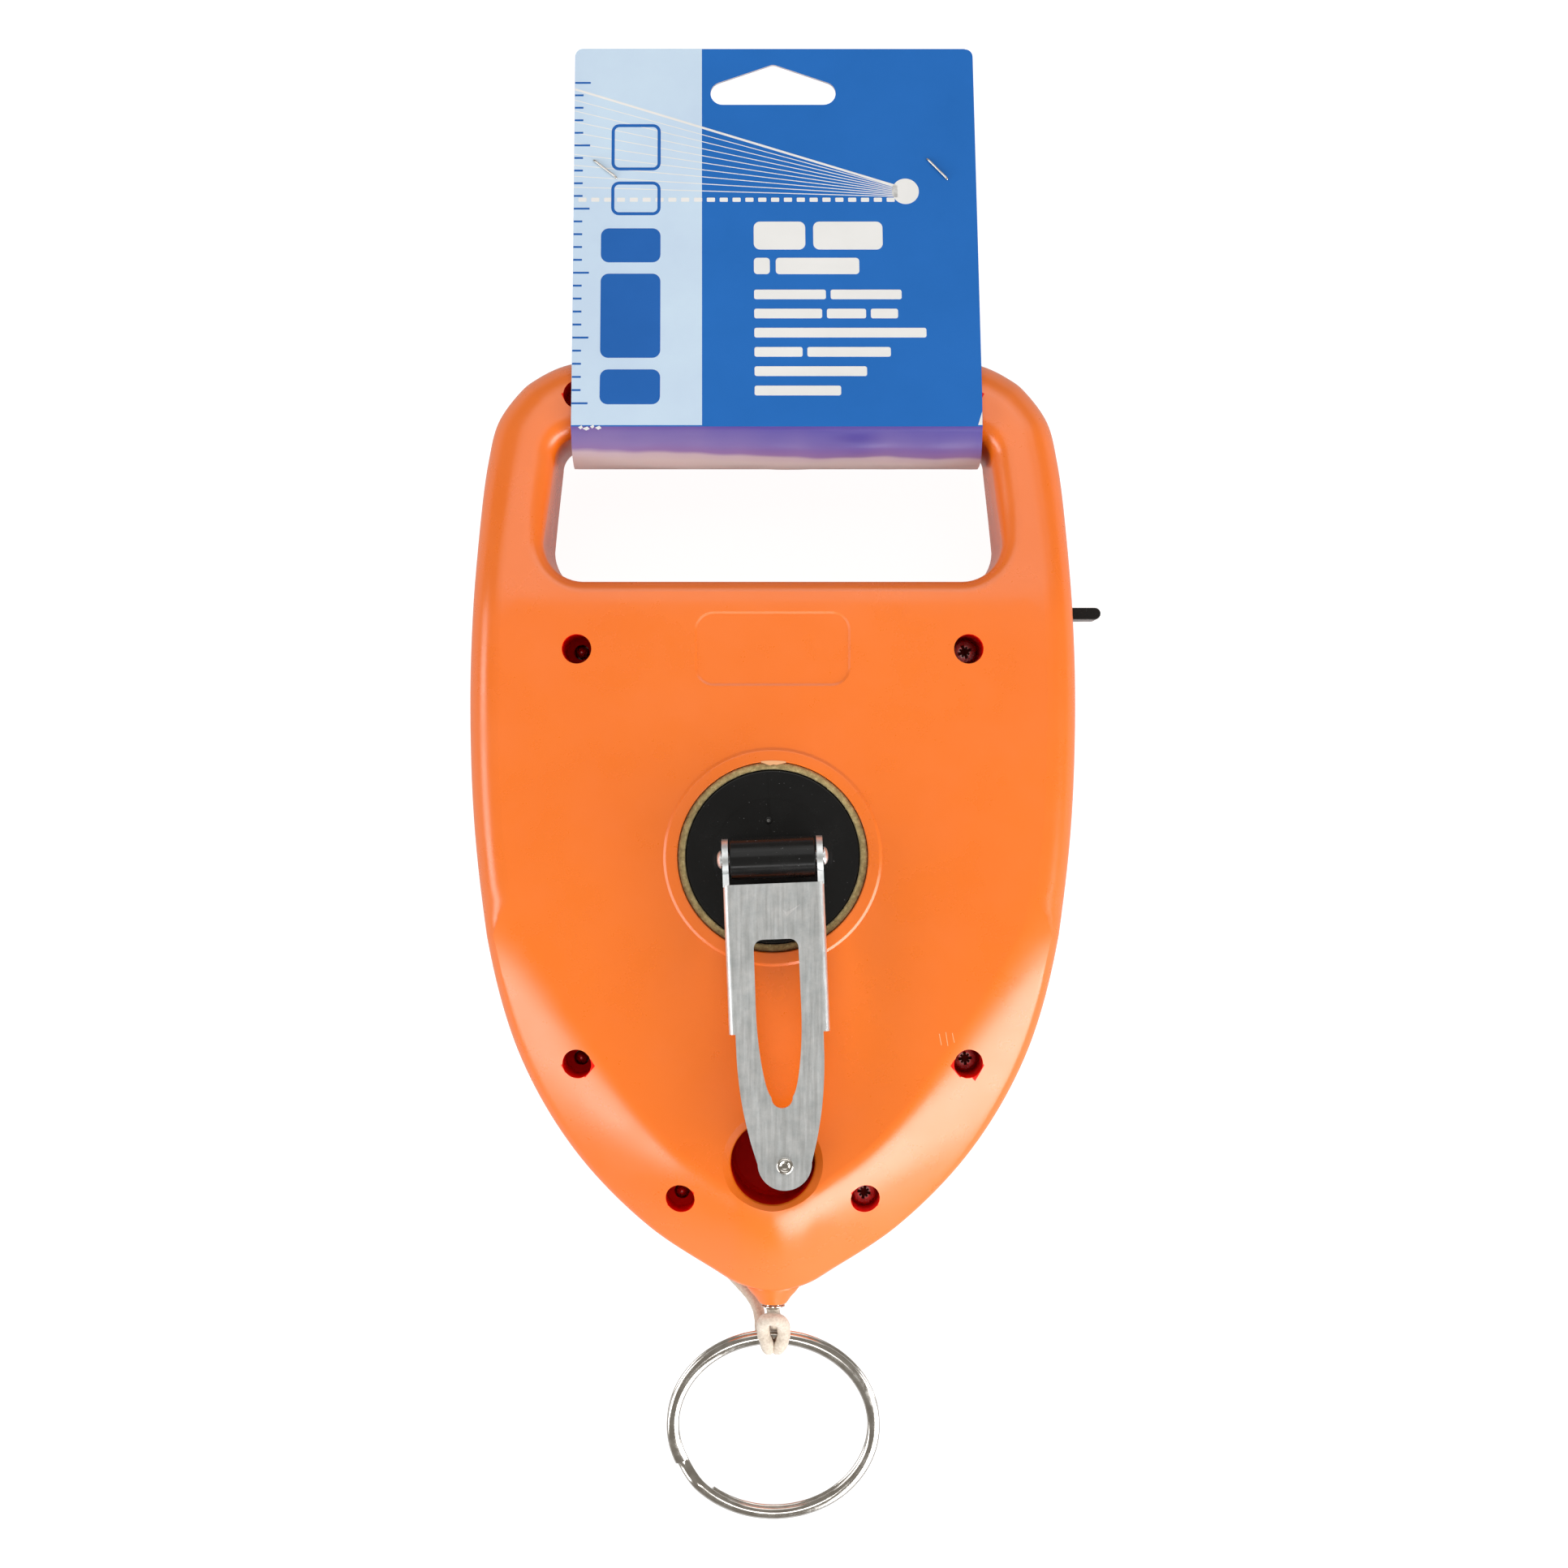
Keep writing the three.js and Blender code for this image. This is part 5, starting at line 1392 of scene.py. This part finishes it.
def build_card():
    line, belly_start = card_line()
    count = len(line)
    rings = []
    for column in range(69):
        x = lerp(-card_left, card_right, column / 68)
        outer, inner = [], []
        for k, point in enumerate(line):
            tangent = tangent_at(line, k)
            normal = Vector((-tangent.y, tangent.x))
            dent = 0
            if belly_start + 2 < k < belly_start + 30:
                fade = smoothstep(k, belly_start + 2, belly_start + 8)
                dent = -0.5 * fade * (0.5 + noise.noise(Vector((x / 14, point.y / 7, 3))))
            middle = point + normal * dent
            across = leaning(x, middle.x)
            outer.append((across, *(middle + normal * card_half_thickness)))
            inner.append((across, *(middle - normal * card_half_thickness)))
        rings.append(outer + inner[::-1])
    size = 2 * count
    corners = [corner for ring in rings for corner in ring]
    faces = ring_faces(len(rings), size)
    last = (len(rings) - 1) * size
    for k in range(count - 1):
        faces.append((k, k + 1, size - 2 - k, size - 1 - k))
        faces.append((last + k, last + size - 1 - k, last + size - 2 - k, last + k + 1))
    card = mesh_object("folded_card", corners, faces)
    for outline in (hang_outline(), *corner_outlines()):
        card = cut(card, prism("cutter", outline, -60, 60))
    stand_for(smooth(card, 40), "hang_card", deep_blue, belly, paper)
    mark_card_faces(card)
    even_shading(card)
    build_print()
    build_staples()


def mark_card_faces(card):
    """Blue outside, the belly's surface under the fold, bare paper inside and on the cut edges."""
    to_level = at_hub.inverted()
    middle = Vector((0, 119, -2))
    for face in card.data.polygons:
        centre = to_level @ face.center
        away = Vector((0, centre.y - middle.y, centre.z - middle.z))
        if centre.y > card_join:
            away = Vector((0, 0, centre.z - card_height(centre.y)))
        if abs(face.normal.x) > 0.5 or face.normal.dot(away.normalized()) < 0.25:
            face.material_index = 2
        elif centre.y < card_fold + 0.5:
            face.material_index = 1


def hang_outline():
    """The slot that a shop hook goes through: two round ends and a rounded peak."""
    across = hang_half - hang_end_radius
    rise = hang_high - hang_peak_radius - hang_low - hang_end_radius
    lean = math.asin((hang_end_radius - hang_peak_radius) / math.hypot(across, rise))
    tangent = math.degrees(math.atan2(rise, across) - lean)
    return (
        arc(across, hang_low + hang_end_radius, hang_end_radius, -90, 90 - tangent, 12)
        + arc(0, hang_high - hang_peak_radius, hang_peak_radius, 90 - tangent, 90 + tangent, 10)
        + arc(-across, hang_low + hang_end_radius, hang_end_radius, 90 + tangent, 270, 12)
    )


def on_card(outlines, lift):
    """Thin print on the card's front layer. Each outline is in x and y."""
    corners, faces = [], []
    slant = math.atan(card_fall)
    surface = card_gap + card_half_thickness
    normal = Vector((0, math.sin(slant), math.cos(slant)))
    for outline in outlines:
        count, start = len(outline), len(corners)
        for height in (surface - 0.02, surface + lift):
            for x, y in outline:
                corners.append(Vector((leaning(x, y), y, card_height(y))) + normal * height)
        faces += [tuple(start + i for i in face) for face in ring_faces(2, count)]
        faces.append(tuple(range(start + count - 1, start - 1, -1)))
        faces.append(tuple(range(start + count, start + 2 * count)))
    return corners, faces


def frame_outlines(x0, x1, y0, y1, radius, width):
    """A rounded frame as two halves, each a plain outline."""
    outside = rounded_box(x0, x1, y0, y1, radius)
    inside = rounded_box(x0 + width, x1 - width, y0 + width, y1 - width, radius - width)
    half = len(outside) // 2
    first = outside[: half + 1] + inside[half::-1]
    return [first, outside[half:] + outside[:1] + inside[:1] + inside[: half - 1 : -1]]


def band_outline(left, top):
    """The pale band up the left side of the card."""
    right, low = -17.5, card_fold + 0.2
    corner = arc(left + card_corner, top - card_corner, card_corner, 90, 180, 6)
    return [(left, low), (right, low), (right, top)] + corner


def bar_outlines(left):
    """Filled and open boxes on the band, and a scale along its edge."""
    right, radius = -28, 2
    filled = ((112, 121), (124, 146), (149, 158))
    made = [rounded_box(-43, right, low, high, radius) for low, high in filled]
    for low, high in ((161.5, 170.5), (173.5, 186)):
        made += frame_outlines(-40.5, right, low, high, radius, 0.8)
    for k in range(26):
        y, end = 112 + 3.4 * k, left + (4 if k % 5 == 0 else 2.2)
        made.append([(left, y), (end, y), (end, y + 0.5), (left, y + 0.5)])
    return made


def word_outlines():
    """Plain bars where words would be. Each row is given by where its words end."""
    left, gap, row_height = -4.5, 1.2, 5
    made = [rounded_box(x0, x1, 152.4, 159.8, 1.6) for x0, x1 in ((left, 8.5), (10.5, 28))]
    made += [rounded_box(x0, x1, 145.9, 150.2, 0.9) for x0, x1 in ((left, -0.5), (1, 22))]
    for row, ends in enumerate([(18, 37), (17, 28, 36), (43,), (12, 34), (28,), (21.5,)]):
        y, start = 139.3 - row_height * row, left
        for end in ends:
            made.append(rounded_box(start, end + left, y, y + 2.5, 0.5, 3))
            start = end + left + gap
    return made


def fan_outlines(left):
    """A dashed line, and above it a fan of rays that ends in a dot. The last ray is thicker."""
    made = []
    for k in range(25):
        x = -48.8 + 3.25 * k
        made.append(rounded_box(x, x + 2.06, 165.1, 166.2, 0.15, 1))
    end_x, end_y, rays = 32, 166.5, 10
    for k in range(rays):
        start_y, half = lerp(169, 195.5, k / (rays - 1)), 0.3 if k == rays - 1 else 0.1
        ray = [(left, start_y - half), (end_x, end_y + 0.3 * k - half)]
        made.append(ray + [(x, y + 2 * half) for x, y in reversed(ray)])
    made.append(arc(end_x + 2, end_y + 1.4, 3.4, 0, 352.5, 47))
    return made


def wear_outlines():
    """White specks where the fold is worn, and a torn corner."""
    specks = ((-47.6, 106.1, 0.6), (-46.2, 105.8, 0.9), (-44.7, 106.3, 0.5), (-43.2, 106, 0.8))
    made = []
    for x, y, size in specks:
        made.append([(x - size, y), (x, y - 0.5), (x + size, y - 0.1), (x + 0.3, y + 0.5)])
    made.append([(50.9, 106.7), (51.95, 106.7), (51.95, 110.2), (51.4, 108.4)])
    return made


def build_print():
    edge = 0.05
    left, top = edge - card_left, card_top - edge
    white = word_outlines() + fan_outlines(left) + wear_outlines()
    for name, outlines, surface, lift in (
        ("print_pale", [band_outline(left, top)], pale_blue, 0.03),
        ("print_bars", bar_outlines(left), bar_blue, 0.05),
        ("print_white", white, white_print, 0.04),
    ):
        add_to(mesh_object(name, *on_card(outlines, lift)), "case", surface)


def build_staples():
    slant = Matrix.Rotation(-math.atan(card_fall), 4, "X")
    face = card_gap + card_half_thickness + staple_wire
    half = staple_half - staple_wire
    route = [(-half * 0.3, 0, -face), (0.3 - half, 0, -face)]
    route += [(-half, 0, 0.3 - face), (-half, 0, 0)]
    route += [(-half, 0, face - 0.3), (0.3 - half, 0, face), (0, 0, face + 0.05)]
    route += [(-x, y, z) for x, y, z in reversed(route[:-1])]
    path = open_curve(route, 6)
    rings = tube(path, 10, Vector((0, 1, 0)), lambda angle, k: staple_wire)
    for node, (x, degrees) in zip(("staple_left", "staple_right"), staple_centres):
        turn = Matrix.Rotation(math.radians(degrees), 4, "Z")
        at = shifted(x, staple_place, card_height(staple_place)) @ slant @ turn
        stand_for(smooth(loft(f"wire_{node}", rings, path[0], path[-1], at), 60), node)


# Floor and light


def build_floor():
    """White to the camera, grey in reflections, and still shaded by the reel."""
    span = 4
    mesh = bpy.data.meshes.new("floor")
    corners = [(-span, -span), (span, -span), (span, span), (-span, span)]
    mesh.from_pydata([(x, y, -0.00005) for x, y in corners], [], [(0, 1, 2, 3)])
    floor = bpy.data.objects.new("floor", mesh)
    bpy.context.scene.collection.objects.link(floor)
    paint = Surface("floor_paint")
    paint.give("Base Color", grey(0.3))
    paint.give("Roughness", 0.9)
    paint.give("Specular IOR Level", 0)
    nodes, links = paint.tree.nodes, paint.tree.links
    rays = nodes.new("ShaderNodeLightPath")
    mirrored = multiply_add(paint.tree, rays.outputs["Is Glossy Ray"], 0.1, 0.28)
    strength = multiply_add(paint.tree, rays.outputs["Is Camera Ray"], 0.64, mirrored)
    glow = nodes.new("ShaderNodeEmission")
    links.new(strength, glow.inputs["Strength"])
    both = nodes.new("ShaderNodeAddShader")
    links.new(paint.shader.outputs["BSDF"], both.inputs[0])
    links.new(glow.outputs["Emission"], both.inputs[1])
    links.new(both.outputs["Shader"], nodes["Material Output"].inputs["Surface"])
    floor.data.materials.append(paint.material)


def area_light(name, location, target, size, power):
    data = bpy.data.lights.new(name, "AREA")
    data.shape = "RECTANGLE"
    data.size, data.size_y = size
    data.energy = power
    lamp = bpy.data.objects.new(name, data)
    lamp.location = location
    lamp.rotation_mode = "QUATERNION"
    lamp.rotation_quaternion = (Vector(target) - Vector(location)).to_track_quat("-Z", "Y")
    bpy.context.scene.collection.objects.link(lamp)


def build_light():
    world = bpy.data.worlds.new("studio")
    world.use_nodes = True
    tree = world.node_tree
    background = tree.nodes["Background"]
    mirrored = tree.nodes.new("ShaderNodeLightPath").outputs["Is Glossy Ray"]
    tone = ramp(tree, mirrored, [(0, grey(0.38)), (1, (0.27, 0.25, 0.22, 1))])
    tree.links.new(tone, background.inputs["Color"])
    background.inputs["Strength"].default_value = 1
    bpy.context.scene.world = world
    middle, bow = (0, -0.03, 0.03), (0, -0.19, 0.01)
    area_light("left_box", (-0.9, -0.4, 0.5), middle, (1.2, 0.4), 5.5)
    area_light("right_box", (0.74, -0.86, 0.46), middle, (1.5, 0.62), 15.5)
    area_light("top_box", (0.3, 0.95, 0.9), middle, (1.6, 0.5), 2.6)
    area_light("high_box", (0, 0.7, 1.4), middle, (1.4, 0.9), 4)
    area_light("strip", (0, -1, 1.05), bow, (0.4, 0.16), 1)


def finish_cad_nodes():
    """The nodes that keep their CAD shape get their materials."""
    for node, piece in frame["nodes"].items():
        piece.data.materials.clear()
        piece.data.materials.append(by_slot[slot_of[node]])


finish_cad_nodes()
build_case()
build_screws()
build_hubs()
build_crank_arm()
build_pins()
build_knob()
build_gate()
build_eyelet()
build_line_end()
build_inner_line()
build_card()
build_floor()
build_light()
build_camera()
bpy.context.scene.view_settings.view_transform = "Standard"
